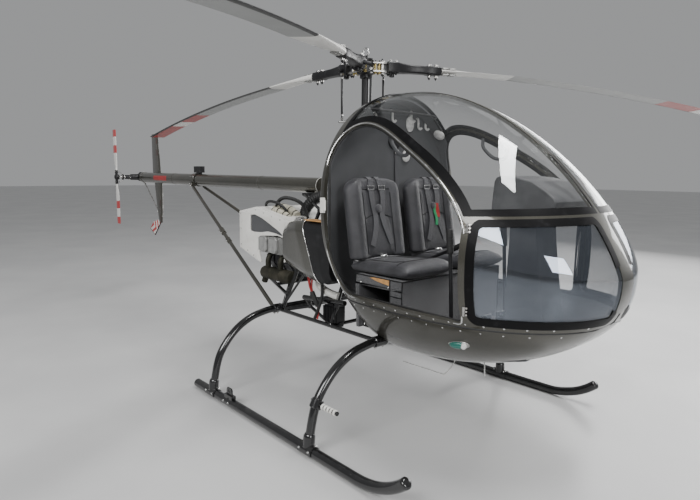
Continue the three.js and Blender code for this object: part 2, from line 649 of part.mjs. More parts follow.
function rotorHub() {
  const arms = Array.from({ length: ROTOR.blades }, (_, k) => {
    const arm = join(
      block([30, ARM.strap - GAP], [-34, 34], [22, 34]),
      block([30, ARM.strap - GAP], [-34, 34], [-34, -22]),
      rod(vec(118, 0, -46), vec(118, 0, 46), 15, 12),
    );
    return arm.rotateZ((k / ROTOR.blades) * 2 * Math.PI);
  });
  const eye = new THREE.TorusGeometry(27, 6, 8, 20).rotateX(Math.PI / 2).translate(0, 0, 96);
  return join(
    rod(vec(0, 0, -52), vec(0, 0, 52), 58, 24),
    rod(vec(0, 0, -80), vec(0, 0, -51), 38, 16),
    rod(vec(0, 0, 51), vec(0, 0, 71), 14, 12),
    eye,
    ...arms,
  );
}

const droopAt = (r) => -ROTOR.droop * (r / ROTOR.radius) ** 2;

function bladeGrip() {
  const body = loft([[ARM.strap, 46, 42, 0], [230, 46, 38, 0], [330, 34, 28, droopAt(330)],
    [ARM.grip - GAP, 30, 26, droopAt(ARM.grip)]].map(([x, w, h, z]) => [
    [-w, -h + 8], [-w + 10, -h], [w - 10, -h], [w, -h + 8],
    [w, h - 8], [w - 10, h], [-w + 10, h], [-w, h - 8],
  ].map(([y, dz]) => vec(x, y, z + dz))));
  const horn = rod(vec(190, 40, -8), vec(178, 92, -14), 13, 10);
  return join(body, horn);
}

function blade() {
  const section = ([r, front, back, thick]) => {
    const z = droopAt(r);
    const chord = front + back;
    // share of the chord from the leading edge, share of half the thickness
    const outline = [[0, 0], [0.06, 0.75], [0.28, 1], [0.65, 0.6], [1, 0.06],
      [1, -0.06], [0.65, -0.5], [0.28, -0.8], [0.06, -0.6]];
    return outline.map(([c, t]) => vec(r, front - chord * c, z + (thick / 2) * t));
  };
  // radius, leading edge, trailing edge, thickness
  const rows = [[ARM.grip, 34, 44, 40], [640, 40, 60, 32], [780, 48, 84, 24],
    [ARM.root, 56, ROTOR.chord - 56, 20]];
  const even = [1400, 1750, 2100, 2450, 2800, 3110, ROTOR.radius].map((r) => [r, 56, ROTOR.chord - 56, 18]);
  return loft([...rows, ...even].map(section));
}

const LINK = { r: 178, top: -24 };
const linkAngle = Math.atan2(92, LINK.r);
const SWASH_TOP = 1925;
const EAR = { z: 1908, r: 9 };

function pitchLink() {
  const x = Math.cos(linkAngle) * 186;
  const y = Math.sin(linkAngle) * 186;
  const low = EAR.z + EAR.r + GAP - ROTOR.height;
  return rod(vec(x - 14, y - 8, low), vec(x - 14, y - 4, LINK.top - 4.5), 8, 10);
}

function turningSwash() {
  const disc = rod(vec(0, 0, 1892 + GAP), vec(0, 0, SWASH_TOP), 134, 24);
  const ears = Array.from({ length: ROTOR.blades }, (_, k) => {
    const ear = rod(vec(100, 0, EAR.z), vec(188, 0, EAR.z), EAR.r, 8);
    return ear.rotateZ(linkAngle + (k / ROTOR.blades) * 2 * Math.PI);
  });
  const hole = rod(vec(0, 0, 1700), vec(0, 0, 2100), 25.3, 16);
  return cut(join(disc, ...ears), hole).translate(0, 0, -ROTOR.height);
}

const mast = () => rod(vec(0, 0, 1640 + GAP - ROTOR.height), vec(0, 0, -80 - GAP), 25, 16);

// Tail rotor, drawn with its shaft along Y at the origin
const tailHub = () => join(
  rod(vec(0, 30, 0), vec(0, -22, 0), 30, 16),
  rod(vec(0, 99.7, 0), vec(0, 29, 0), 14, 12),
  rod(vec(0, 0, -82), vec(0, 0, 82), 15, 12),
);

function tailBlade() {
  const outline = [[0, 0], [0.1, 0.8], [0.35, 1], [1, 0.08], [1, -0.08], [0.35, -1], [0.1, -0.8]];
  const section = ([r, front, back, thick]) =>
    outline.map(([c, t]) => vec(front - (front + back) * c, (thick / 2) * t, r));
  return loft([[82 + GAP, 20, 24, 24], [140, 30, 44, 14], [200, 38, TAIL_ROTOR.chord - 38, 12],
    [TAIL_ROTOR.radius, 38, TAIL_ROTOR.chord - 38, 10]].map(section));
}

// The aircraft
const group = new THREE.Group();
const aircraft = new THREE.Group();
aircraft.position.x = MAST_X;
group.add(aircraft);

function place(parent, name, geometry, material, position = [0, 0, 0]) {
  const mesh = new THREE.Mesh(geometry, material);
  mesh.name = name;
  mesh.position.set(...position);
  parent.add(mesh);
  return mesh;
}

place(aircraft, 'belly_shell', bellyShell(), BRONZE);
place(aircraft, 'rear_shell', rearShell(), BLACK_MATT);
place(aircraft, 'sill_frame', sillFrame(), BRONZE);
place(aircraft, 'hoop_frame', hoopFrame(), BRONZE);
place(aircraft, 'centre_post', centrePost(), BRONZE);
place(aircraft, 'cabin_floor', cabinFloor(), CARPET);
place(aircraft, 'console', console(), GREY_INSIDE);
place(aircraft, 'seat_riser', seatRiser(), BLACK_MATT);
place(aircraft, 'cyclics', cyclics(), BLACK_MATT);
place(aircraft, 'collective', collective(), BLACK_MATT);
place(aircraft, 'pedals_left', pedals(1), STEEL);
place(aircraft, 'pedals_right', pedals(-1), STEEL);
place(aircraft, 'gearbox', gearbox(), CAST);
place(aircraft, 'swash_fixed', fixedSwash(), CAST);
place(aircraft, 'truss_frame', trussFrame(), BLACK_GLOSS);
place(aircraft, 'engine_block', engineBlock(), CAST);
place(aircraft, 'engine_cowl', engineCowl(), WHITE);
place(aircraft, 'intake_duct', intakeDuct(), BLACK_MATT);
place(aircraft, 'exhaust', exhaust(), BRONZE);
place(aircraft, 'tail_boom', tailBoom(), BRONZE);
place(aircraft, 'upper_fin', upperFin(), BRONZE);
place(aircraft, 'lower_fin', lowerFin(), BRONZE);
place(aircraft, 'stabiliser', stabiliser(), BRONZE);
place(aircraft, 'tail_gearbox', tailGearbox(), BLACK_MATT);
place(aircraft, 'front_cross_tube', frontCrossTube(), BLACK_GLOSS);
place(aircraft, 'rear_cross_tube', crossTube(CROSS.rear), BLACK_GLOSS);

for (const [end, side] of [['left', 1], ['right', -1]]) {
  place(aircraft, `side_frame_${end}`, sideFrame(side), BRONZE);
  place(aircraft, `upper_window_${end}`, upperWindow(side), CLEAR);
  place(aircraft, `lower_window_${end}`, lowerWindow(side), CLEAR);
  place(aircraft, `seat_back_${end}`, inCabin(seatBack(side)), LEATHER);
  place(aircraft, `seat_cushion_${end}`, inCabin(seatCushion(side)), LEATHER);
  place(aircraft, `fuel_tank_${end}`, fuelTank(side), BRONZE);
  place(aircraft, `boom_strut_${end}`, boomStrut(side), BRONZE);
  place(aircraft, `skid_${end}`, skid(side), BLACK_GLOSS);
  place(aircraft, `nav_light_${end}`, navLight(side), side > 0 ? LAMP_RED : LAMP_GREEN);
}

const mainRotor = new THREE.Group();
mainRotor.position.z = ROTOR.height;
mainRotor.rotation.z = THREE.MathUtils.degToRad(ROTOR.azimuth);
aircraft.add(mainRotor);
place(mainRotor, 'mast', mast(), BLACK_MATT);
place(mainRotor, 'swash_turning', turningSwash(), CAST);
place(mainRotor, 'rotor_hub', rotorHub(), STEEL);
for (let k = 0; k < ROTOR.blades; k++) {
  const arm = new THREE.Group();
  arm.rotation.z = (k / ROTOR.blades) * 2 * Math.PI;
  mainRotor.add(arm);
  place(arm, `blade_grip_${k + 1}`, bladeGrip(), BLACK_MATT);
  place(arm, `blade_${k + 1}`, blade(), BLADE);
  place(arm, `pitch_link_${k + 1}`, pitchLink(), BLACK_MATT);
}

const tailRotor = new THREE.Group();
tailRotor.position.set(TAIL_ROTOR.x, TAIL_ROTOR.y, TAIL_ROTOR.z);
aircraft.add(tailRotor);
place(tailRotor, 'tail_hub', tailHub(), BLACK_MATT);
place(tailRotor, 'tail_blade_1', tailBlade(), WHITE);
place(tailRotor, 'tail_blade_2', tailBlade().rotateY(Math.PI), WHITE);

export default group;
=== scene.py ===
"""A light two-seat helicopter on skids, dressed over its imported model.

Metres. X points forward, Y to port, Z up. Stations (x) count from the rotor mast, as in the part's source,
and every piece is moved to the part's own origin when it becomes an object.
"""
import math

import bmesh
import bpy
import numpy as np
from mathutils import Matrix, Vector
from mathutils.bvhtree import BVHTree


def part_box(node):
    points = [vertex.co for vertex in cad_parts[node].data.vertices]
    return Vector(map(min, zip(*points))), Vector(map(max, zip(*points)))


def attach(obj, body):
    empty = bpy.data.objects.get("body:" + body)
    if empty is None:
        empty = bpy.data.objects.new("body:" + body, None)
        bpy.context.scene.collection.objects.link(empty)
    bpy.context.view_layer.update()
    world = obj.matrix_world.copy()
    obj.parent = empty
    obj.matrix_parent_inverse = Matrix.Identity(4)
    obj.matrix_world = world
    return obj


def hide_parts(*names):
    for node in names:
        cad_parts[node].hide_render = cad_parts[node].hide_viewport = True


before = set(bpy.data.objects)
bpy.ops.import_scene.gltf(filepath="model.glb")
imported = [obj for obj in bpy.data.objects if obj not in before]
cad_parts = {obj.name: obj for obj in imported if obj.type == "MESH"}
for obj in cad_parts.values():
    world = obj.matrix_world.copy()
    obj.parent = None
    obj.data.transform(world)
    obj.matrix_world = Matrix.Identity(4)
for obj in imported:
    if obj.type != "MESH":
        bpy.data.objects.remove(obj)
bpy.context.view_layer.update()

# Sizes shared by the pieces

mast_low, mast_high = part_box("mast")
MAST = Vector(((mast_low.x + mast_high.x) / 2, 0, 0))  # from the part's origin to the mast
GAP = 0.0003
AHEAD, ASTERN, STARBOARD, UP, DOWN = (1, 0, 0), (-1, 0, 0), (0, -1, 0), (0, 0, 1), (0, 0, -1)

NOSE, NOSE_Z = 1.840, 1.060
REAR_WALL, RIM, HOOP_REAR, HOOP_FRONT = 0.225, 0.280, 0.250, 0.330
WALL = 0.022
BELLY_POWER = 2.5  # roundness of the lower half's sections; 2 is an ellipse
PANE = (0.003, 0.009)  # depths of a pane's faces
PILLAR, PILLAR_WIDTH = 1.300, 0.045
LOW_POST, HIGH_POST = 0.060, 0.014
SILL_FLANGE, DOOR_BAND = 0.028, 0.030
FLOOR_TOP = 0.620

BOOM_FRONT, BOOM_END = Vector((-0.470, 0, 1.455)), Vector((-3.960, 0, 1.481))
BOOM_RADIUS = 0.060
CLAMP_X = -2.540
FIN_X = -3.490

TRACK, SKID_RADIUS = 0.930, 0.030
SKID_REAR, SKID_BEND, SKID_TIP, SKID_TIP_Z = -0.747, 0.960, 1.300, 0.153
CROSS_FRONT, CROSS_REAR, CROSS_TOP, CROSS_RADIUS = 0.570, -0.520, 0.547, 0.026

HUB_Z, ROTOR_RADIUS, DROOP = 2.273, 3.420, 0.335
ROTOR_AZIMUTH = math.radians(61.25)
TAIL_ROTOR = Vector((-4.040, -0.300, 1.482))
TAIL_RADIUS = 0.560
LINK_ANGLE = math.atan2(0.092, 0.178)  # a pitch link stands ahead of its blade

SEAT_Y, SEAT_BACK_X, CUSHION_REAR, CUSHION_FRONT = 0.262, 0.338, 0.372, 0.868
VOXEL = 0.009


# Shader helpers


def sum_of(operation, swapped=False):
    """An operator that lays one Math node."""

    def lay(self, other):
        pair = [other, self] if swapped else [self, other]
        return self.paint.node("ShaderNodeMath", {"operation": operation}, pair)

    return lay


class Wire:
    """One output socket in a material's nodes; sums of wires and numbers lay Math nodes."""

    def __init__(self, paint, socket):
        self.paint, self.socket = paint, socket

    __add__, __radd__ = sum_of("ADD"), sum_of("ADD", True)
    __sub__, __rsub__ = sum_of("SUBTRACT"), sum_of("SUBTRACT", True)
    __mul__, __rmul__ = sum_of("MULTIPLY"), sum_of("MULTIPLY", True)
    __pow__ = sum_of("POWER")
    above, least = sum_of("GREATER_THAN"), sum_of("MINIMUM")

    def size(self):
        return self.paint.node("ShaderNodeMath", {"operation": "ABSOLUTE"}, [self])

    def wave(self):
        return self.paint.node("ShaderNodeMath", {"operation": "SINE"}, [self])

    def ease(self, low, high, start=0.0, end=1.0):
        """Goes smoothly from start to end as this wire goes from low to high."""
        sockets = {"Value": self, "From Min": low, "From Max": high, "To Min": start, "To Max": end}
        return self.paint.node("ShaderNodeMapRange", {"interpolation_type": "SMOOTHSTEP"}, sockets)


class Paint:
    """A material while its nodes are laid."""

    def __init__(self, name):
        self.material = bpy.data.materials.new(name)
        self.material.use_nodes = True
        self.tree = self.material.node_tree
        self.tree.nodes.clear()

    def node(self, kind, settings=None, sockets=None, out=0):
        """Lays a node: its settings first, then the values or links of its sockets."""
        node = self.tree.nodes.new(kind)
        for key, value in (settings or {}).items():
            setattr(node, key, value)
        pairs = sockets.items() if isinstance(sockets, dict) else enumerate(sockets or [])
        for key, value in pairs:
            if isinstance(value, Wire):
                self.tree.links.new(value.socket, node.inputs[key])
            else:
                node.inputs[key].default_value = value
        return Wire(self, node.outputs[out]) if len(node.outputs) else node

    def place(self):
        """Where a point of the piece lies, in the part's frame."""
        return self.node("ShaderNodeTexCoord", out="Object")

    def xyz(self):
        place = self.place()
        return [self.node("ShaderNodeSeparateXYZ", {}, [place], out=k) for k in range(3)]

    def facing_up(self):
        normal = self.node("ShaderNodeNewGeometry", out="Normal")
        return self.node("ShaderNodeSeparateXYZ", {}, [normal], out=2)

    def noise(self, scale, detail=3.0, roughness=0.55, vector=None):
        sockets = {"Vector": vector or self.place(), "Scale": scale, "Detail": detail, "Roughness": roughness}
        return self.node("ShaderNodeTexNoise", {}, sockets)

    def cells(self, scale, out="Distance"):
        return self.node("ShaderNodeTexVoronoi", {}, {"Vector": self.place(), "Scale": scale}, out=out)

    def stretched(self, scale):
        return self.node("ShaderNodeMapping", {}, {"Vector": self.place(), "Scale": scale})

    def mix(self, share, low, high):
        """A colour between two colours."""
        pair = [c if isinstance(c, Wire) else rgba(c) for c in (low, high)]
        return self.node("ShaderNodeMix", {"data_type": "RGBA"}, {0: share, 6: pair[0], 7: pair[1]}, out=2)

    def bump(self, height, depth, strength=1.0, under=None):
        sockets = {"Height": height, "Distance": depth, "Strength": strength}
        if under is not None:
            sockets["Normal"] = under
        return self.node("ShaderNodeBump", {}, sockets)

    def surface(self, sockets):
        """Ends the material in one Principled shader."""
        values = {}
        for key, value in sockets.items():
            is_colour = key.endswith("Color") and not isinstance(value, Wire)
            values[key] = rgba(value) if is_colour else value
        shader = self.node("ShaderNodeBsdfPrincipled", {}, values)
        self.node("ShaderNodeOutputMaterial", {}, {"Surface": shader})
        return self.material


def rgba(colour):
    return (*colour, 1.0) if len(colour) == 3 else tuple(colour)


# Finishes


def bronze_paint():
    """Dark olive-bronze metallic under clear coat, with fine flakes and a dull film of dust on top."""
    paint = Paint("bronze_paint")
    cloud = paint.noise(1.7, 2.0)
    flake = paint.cells(2600, out="Color")
    spark = paint.node("ShaderNodeSeparateColor", {}, [flake], out=0)
    tone = paint.mix(cloud.ease(0.35, 0.65), (0.042, 0.040, 0.031), (0.056, 0.053, 0.041))
    lit = paint.mix(spark.ease(0.8, 1.0, 0.0, 0.5), tone, (0.19, 0.18, 0.15))
    dust = paint.facing_up().ease(0.4, 1.0, 0.0, 0.14)
    return paint.surface({
        "Base Color": paint.mix(dust, lit, (0.30, 0.29, 0.26)), "Metallic": 0.62,
        "Roughness": 0.30 + 0.12 * paint.noise(26) + 0.3 * dust, "Coat Weight": 0.9 - 1.2 * dust,
        "Coat Roughness": 0.06, "Normal": paint.bump(paint.noise(240, 1.0), 0.00006),
    })


def black_enamel():
    """Gloss black of the landing gear, with dust on its upper side and small chips near the floor."""
    paint = Paint("black_enamel")
    _, _, z = paint.xyz()
    dust = paint.facing_up().ease(0.4, 1.0) * paint.noise(9).ease(0.4, 0.75, 0.0, 0.16)
    chips = paint.noise(130, 5.0, 0.7).ease(0.66, 0.70) * z.ease(0.05, 0.20, 0.8, 0.0)
    tone = paint.mix(dust, (0.006, 0.006, 0.0065), (0.12, 0.118, 0.11))
    return paint.surface({
        "Base Color": paint.mix(chips, tone, (0.26, 0.25, 0.24)),
        "Roughness": 0.12 + 0.35 * dust + 0.06 * paint.noise(60), "Coat Weight": 0.6, "Coat Roughness": 0.04,
        "Normal": paint.bump(paint.noise(320, 1.0), 0.00008),
    })


def satin_black(name="satin_black", tone=(0.010, 0.010, 0.011), roughness=0.36, shine=0.4):
    """Powder coat and small castings."""
    paint = Paint(name)
    grain = paint.noise(900, 2.0)
    worn = paint.noise(18, 4.0).ease(0.55, 0.75)
    light = tuple(c * 2.0 + 0.006 for c in tone)
    return paint.surface({
        "Base Color": paint.mix(worn, tone, light), "Roughness": roughness + 0.15 * worn,
        "Specular IOR Level": shine, "Normal": paint.bump(grain, 0.00015),
    })


def rubber():
    paint = Paint("rubber")
    bloom = paint.noise(35, 4.0).ease(0.5, 0.8)
    return paint.surface({
        "Base Color": paint.mix(bloom, (0.012, 0.012, 0.012), (0.035, 0.035, 0.034)),
        "Roughness": 0.55 + 0.2 * bloom, "Normal": paint.bump(paint.noise(700), 0.0001),
    })


def bare_metal(name, tone, roughness, marks=0.5):
    """Turned or rolled metal: fine marks along it, finger marks and a little haze."""
    paint = Paint(name)
    lines = paint.noise(3.0, 6.0, 0.7, vector=paint.stretched((90, 900, 900)))
    haze = paint.noise(22, 3.0)
    dark = tuple(c * 0.72 for c in tone)
    return paint.surface({
        "Base Color": paint.mix(haze.ease(0.35, 0.75), dark, tone), "Metallic": 1.0,
        "Roughness": roughness + 0.18 * haze.ease(0.4, 0.8) + 0.1 * marks * lines,
        "Normal": paint.bump(lines, 0.00006 * marks),
    })


def cast_metal(name, tone=(0.36, 0.36, 0.35)):
    paint = Paint(name)
    grain = paint.noise(420, 4.0, 0.7)
    stain = paint.noise(12, 4.0).ease(0.45, 0.8)
    dark = tuple(c * 0.45 for c in tone)
    return paint.surface({
        "Base Color": paint.mix(stain, tone, dark), "Metallic": 0.85, "Roughness": 0.45 + 0.2 * stain,
        "Normal": paint.bump(grain, 0.0005),
    })


def shroud_white():
    """White fibreglass of the engine shroud, with grey smudges."""
    paint = Paint("shroud_white")
    smudge = paint.noise(14, 4.0).ease(0.5, 0.8, 0.0, 0.5)
    return paint.surface({
        "Base Color": paint.mix(smudge, (0.78, 0.77, 0.73), (0.46, 0.45, 0.42)),
        "Roughness": 0.38 + 0.2 * smudge, "Normal": paint.bump(paint.noise(160, 2.0), 0.0003),
    })


def blade_paint():
    """Main blade: white root, grey blade, red and white bands by distance from the mast, fine specks."""
    paint = Paint("blade_paint")
    x, y, _ = paint.xyz()
    radius = ((x - MAST.x) ** 2 + y ** 2) ** 0.5
    speck = paint.noise(60, 5.0, 0.7).ease(0.62, 0.72, 0.0, 0.5)
    red_from, white_from, white_to, edge, pale = 2.348, 2.678, 2.878, 0.006, (0.74, 0.73, 0.70)

    def past(limit):
        return radius.ease(limit, limit + edge)

    def short_of(limit):
        return radius.ease(limit, limit + edge, 1.0, 0.0)

    root = radius.ease(1.062, 1.070, 1.0, 0.0)
    red = past(red_from) * short_of(white_from) + past(white_to)
    white = past(white_from) * short_of(white_to)
    tone = paint.mix(root, (0.30, 0.305, 0.30), pale)
    banded = paint.mix(white, tone, pale)
    coloured = paint.mix(red, banded, (0.36, 0.045, 0.040))
    return paint.surface({
        "Base Color": paint.mix(speck, coloured, (0.18, 0.18, 0.17)),
        "Roughness": 0.33 + 0.2 * paint.noise(8) + 0.2 * speck, "Coat Weight": 0.3, "Coat Roughness": 0.15,
        "Normal": paint.bump(paint.noise(30, 2.0), 0.0004),
    })


def guard_stripes():
    """Fin guard: red and white slanting bars, mirrored about its rib, inside a black border."""
    paint = Paint("guard_stripes")
    x, _, z = paint.xyz()
    rib_x, rib_z, slope_cos, slope_sin = -3.6555, 0.8925, 0.88, 0.47
    u, v = x - MAST.x - rib_x, z - rib_z
    along = u * slope_cos - v * slope_sin
    over = (u * slope_sin + v * slope_cos).size()
    bars = ((over * 0.8 + along) * (2 * math.pi / 0.085)).wave().above(0.0)
    tone = paint.mix(bars, (0.72, 0.71, 0.68), (0.50, 0.035, 0.035))
    return paint.surface({
        "Base Color": tone, "Roughness": 0.35 + 0.2 * paint.noise(30), "Coat Weight": 0.3,
        "Normal": paint.bump(paint.noise(200), 0.0001),
    })


def tail_blade_paint():
    """Tail blade: white with two red bands, by distance from its shaft."""
    paint = Paint("tail_blade_paint")
    x, _, z = paint.xyz()
    centre = TAIL_ROTOR + MAST
    radius = ((x - centre.x) ** 2 + (z - centre.z) ** 2) ** 0.5
    outer = radius.ease(0.475, 0.479)
    inner = radius.ease(0.285, 0.289) * radius.ease(0.375, 0.379, 1.0, 0.0)
    speck = paint.noise(80, 4.0).ease(0.62, 0.75, 0.0, 0.4)
    tone = paint.mix((outer + inner).least(1.0), (0.76, 0.75, 0.72), (0.50, 0.035, 0.035))
    return paint.surface({
        "Base Color": paint.mix(speck, tone, (0.3, 0.29, 0.28)), "Roughness": 0.3 + 0.3 * speck,
        "Coat Weight": 0.4, "Coat Roughness": 0.1, "Normal": paint.bump(paint.noise(40), 0.0003),
    })


def acrylic(name, tint, base, most):
    """Clear pane that mirrors more and more towards its edges, with faint wipe marks."""
    paint = Paint(name)
    slant = paint.node("ShaderNodeLayerWeight", {}, {"Blend": 0.5}, out="Facing")
    edge = slant * slant * slant * slant
    wiped = paint.noise(7, 5.0, 0.65)
    return paint.surface({
        "Base Color": tint, "Metallic": 1.0, "Roughness": 0.012 + 0.05 * wiped.ease(0.5, 0.8),
        "Alpha": base + most * edge, "Normal": paint.bump(paint.noise(5, 2.0), 0.0012, 0.35),
    })


def leather():
    """Black seat leather: pebbled grain, soft creases, lighter worn patches that are partly wear and partly a
    painted sheen.
    """
    paint = Paint("leather")
    warp = paint.noise(38, 2.0)
    pebble = paint.cells(330)
    crease = paint.noise(28, 6.0, 0.72)
    # shine marks lighter random patches: partly wear, partly a painted sheen in the base colour
    shine = paint.noise(6.5, 3.0)
    grain = pebble.ease(0.0, 0.75) + 0.25 * warp
    coarse = paint.bump(crease.ease(0.35, 0.7), 0.0016, 0.6)
    return paint.surface({
        # the lighter colour where shine is high is partly wear and partly painted sheen
        "Base Color": paint.mix(shine.ease(0.3, 0.75), (0.020, 0.020, 0.023), (0.046, 0.046, 0.052)),
        "Roughness": 0.36 + 0.16 * shine + 0.10 * pebble, "Sheen Weight": 0.12, "Sheen Roughness": 0.4,
        "Specular IOR Level": 0.6, "Normal": paint.bump(grain, 0.0004, 0.8, under=coarse),
    })


def webbing():
    """Woven belt webbing: fine cross ribs and a lengthwise rib."""
    paint = Paint("webbing")
    x, y, z = paint.xyz()
    ribs = ((z + 0.35 * x) * 2600).wave() * 0.5 + (y * 1900).wave() * 0.5
    return paint.surface({
        "Base Color": paint.mix(ribs.ease(-1, 1), (0.020, 0.020, 0.024), (0.060, 0.060, 0.068)),
        "Roughness": 0.75, "Sheen Weight": 0.3, "Normal": paint.bump(ribs, 0.0004),
    })


def carpet():
    """Short loop pile, mottled by tread."""
    paint = Paint("carpet")
    loop = paint.cells(520)
    tread = paint.noise(9, 4.0)
    mottle = paint.mix(tread.ease(0.3, 0.7), (0.040, 0.041, 0.046), (0.085, 0.087, 0.094))
    return paint.surface({
        "Base Color": paint.mix(loop.ease(0.1, 0.8), mottle, (0.025, 0.025, 0.028)), "Roughness": 0.95,
        "Sheen Weight": 0.4, "Sheen Roughness": 0.6, "Normal": paint.bump(loop, 0.002, 0.9),
    })


def lining():
    """Soft matt grey lining of the rear wall and roof."""
    paint = Paint("lining")
    tone = (0.075, 0.077, 0.082)
    nap = paint.noise(620, 3.0)
    cloud = paint.noise(3.2, 3.0)
    dark = tuple(c * 0.72 for c in tone)
    return paint.surface({
        "Base Color": paint.mix(cloud.ease(0.3, 0.7), dark, tone), "Roughness": 0.82, "Sheen Weight": 0.15,
        "Normal": paint.bump(nap, 0.0004),
    })


def hood_cover():
    """Grained vinyl of the instrument hood."""
    paint = Paint("hood_cover")
    grain = paint.cells(420)
    fade = paint.noise(7, 3.0)
    return paint.surface({
        "Base Color": paint.mix(fade.ease(0.3, 0.7), (0.036, 0.037, 0.040), (0.070, 0.072, 0.076)),
        "Roughness": 0.5 + 0.12 * grain, "Normal": paint.bump(grain, 0.0005, 0.8),
    })


def heated_steel():
    """Exhaust steel, browned and sooty where it runs hot."""
    paint = Paint("heated_steel")
    heat = paint.noise(9, 5.0, 0.65)
    tone = paint.mix(heat.ease(0.35, 0.7), (0.030, 0.030, 0.022), (0.066, 0.060, 0.044))
    return paint.surface({
        "Base Color": tone, "Metallic": 0.7, "Roughness": 0.5 + 0.2 * heat,
        "Normal": paint.bump(paint.noise(260, 4.0), 0.0004),
    })


def plain(name, tone, roughness=0.45):
    """Small coloured parts: wire sleeves, knobs, dial faces."""
    paint = Paint(name)
    cloud = paint.noise(45, 3.0)
    dark = tuple(c * 0.7 for c in tone)
    return paint.surface({
        "Base Color": paint.mix(cloud.ease(0.3, 0.7), dark, tone), "Roughness": roughness + 0.15 * cloud,
        "Normal": paint.bump(paint.noise(500), 0.0001),
    })


def lamp_lens(name, tone):
    """Clear coloured cover of a navigation light, ribbed inside, with a faint painted glow in its own colour.
    """
    paint = Paint(name)
    ribs = (paint.xyz()[0] * 900).wave()
    return paint.surface({
        # the faint emission is a painted glow that brightens the lens
        "Base Color": tone, "Roughness": 0.08, "Coat Weight": 0.8, "Emission Color": tone,
        "Emission Strength": 0.15, "Normal": paint.bump(ribs, 0.0004),
    })


BRONZE = bronze_paint()
ENAMEL = black_enamel()
BLACK = satin_black()
SOFT_BLACK = satin_black("soft_black", (0.007, 0.007, 0.008), 0.55)
EDGE_BLACK = satin_black("edge_black", (0.0025, 0.0025, 0.003), 0.42, 0.15)
RUBBER = rubber()
STEEL = bare_metal("bright_steel", (0.62, 0.61, 0.59), 0.22)
CHROME = bare_metal("polished_steel", (0.80, 0.80, 0.79), 0.08, 0.2)
GOLD = bare_metal("gold_plating", (0.48, 0.38, 0.15), 0.28, 0.3)
CAST = cast_metal("cast_alloy")
PALE_CAST = cast_metal("pale_casting", (0.44, 0.44, 0.43))
DARK_CAST = cast_metal("dark_casting", (0.05, 0.05, 0.052))
SHROUD = shroud_white()
BLADE = blade_paint()
TAIL_BLADE = tail_blade_paint()
CLEAR = acrylic("clear_acrylic", (0.82, 0.84, 0.84), 0.035, 0.80)
SMOKED = acrylic("lower_acrylic", (0.27, 0.30, 0.35), 0.30, 0.65)
LEATHER = leather()
WEBBING = webbing()
CARPET = carpet()
LINING = lining()
HOOD = hood_cover()
HOT = heated_steel()
RED_WIRE = plain("red_wire", (0.42, 0.03, 0.03))
CREAM = plain("cream_hose", (0.55, 0.52, 0.42))
TAN = plain("tan_panel", (0.62, 0.33, 0.12))
GREEN = plain("green_mark", (0.03, 0.30, 0.12))
WHITE_WIRE = plain("white_wire", (0.72, 0.72, 0.70), 0.35)
TAIL_RED = plain("tail_red", (0.42, 0.035, 0.035), 0.3)
GUARD = guard_stripes()
EDGE_STRIP = plain("edge_strip", (0.055, 0.055, 0.056), 0.35)
DIAL = plain("dial_face", (0.015, 0.015, 0.016), 0.25)
LENS_GREEN = lamp_lens("green_lens", (0.004, 0.11, 0.085))
LENS_RED = lamp_lens("red_lens", (0.20, 0.008, 0.008))


# Shape helpers


def angles(count):
    """Even turns once round a circle."""
    return [2 * math.pi * k / count for k in range(count)]


def curve(points, count):
    """A smooth line through points, as count + 1 points."""
    p = [Vector(q) for q in points]
    p = [2 * p[0] - p[1], *p, 2 * p[-1] - p[-2]]
    spans = len(p) - 3
    line = []
    for k in range(count + 1):
        s = k / count * spans
        i = min(int(s), spans - 1)
        t = s - i
        a, b, c, d = p[i:i + 4]
        line.append(0.5 * (2 * b + (c - a) * t + (2 * a - 5 * b + 4 * c - d) * t ** 2
                           + (3 * b - a - 3 * c + d) * t ** 3))
    return line


def bezier(a, b, c, d, count):
    steps = [k / count for k in range(count + 1)]
    a, b, c, d = (Vector(q) for q in (a, b, c, d))
    return [(1 - t) ** 3 * a + 3 * (1 - t) ** 2 * t * b + 3 * (1 - t) * t ** 2 * c + t ** 3 * d
            for t in steps]


def quadratic(a, b, c, count):
    """A bend from a to c towards b, without its first point."""
    a, b, c = (Vector(q) for q in (a, b, c))
    return [(1 - t) ** 2 * a + 2 * (1 - t) * t * b + t ** 2 * c
            for t in (k / count for k in range(1, count + 1))]


def soften(outline, radius, steps=4):
    """An outline with rounded corners."""
    corners = [Vector(p) for p in outline]
    line = []
    for i, corner in enumerate(corners):
        back, on = corners[i - 1] - corner, corners[(i + 1) % len(corners)] - corner
        start = corner + back.normalized() * min(radius, back.length * 0.45)
        end = corner + on.normalized() * min(radius, on.length * 0.45)
        for k in range(steps + 1):
            t = k / steps
            line.append(tuple((1 - t) ** 2 * start + 2 * (1 - t) * t * corner + t ** 2 * end))
    return line


def inset(ring, depth):
    """A ring drawn in towards its middle."""
    points = [Vector(p) for p in ring]
    middle = sum(points, Vector()) / len(points)
    return [p + (middle - p).normalized() * depth for p in points]


def tile(x, half, low, high):
    """Corners of an upright rectangle about a station."""
    return [(x - half, low), (x + half, low), (x + half, high), (x - half, high)]


def across(direction):
    """Two unit vectors square to a direction."""
    z = Vector(direction).normalized()
    x = z.orthogonal().normalized()
    return x, z.cross(x)


def facing(axis, u, v, w):
    """A point of the plane square to an axis, at w along it."""
    return {0: (w, u, v), 1: (u, w, v), 2: (u, v, w)}[axis]


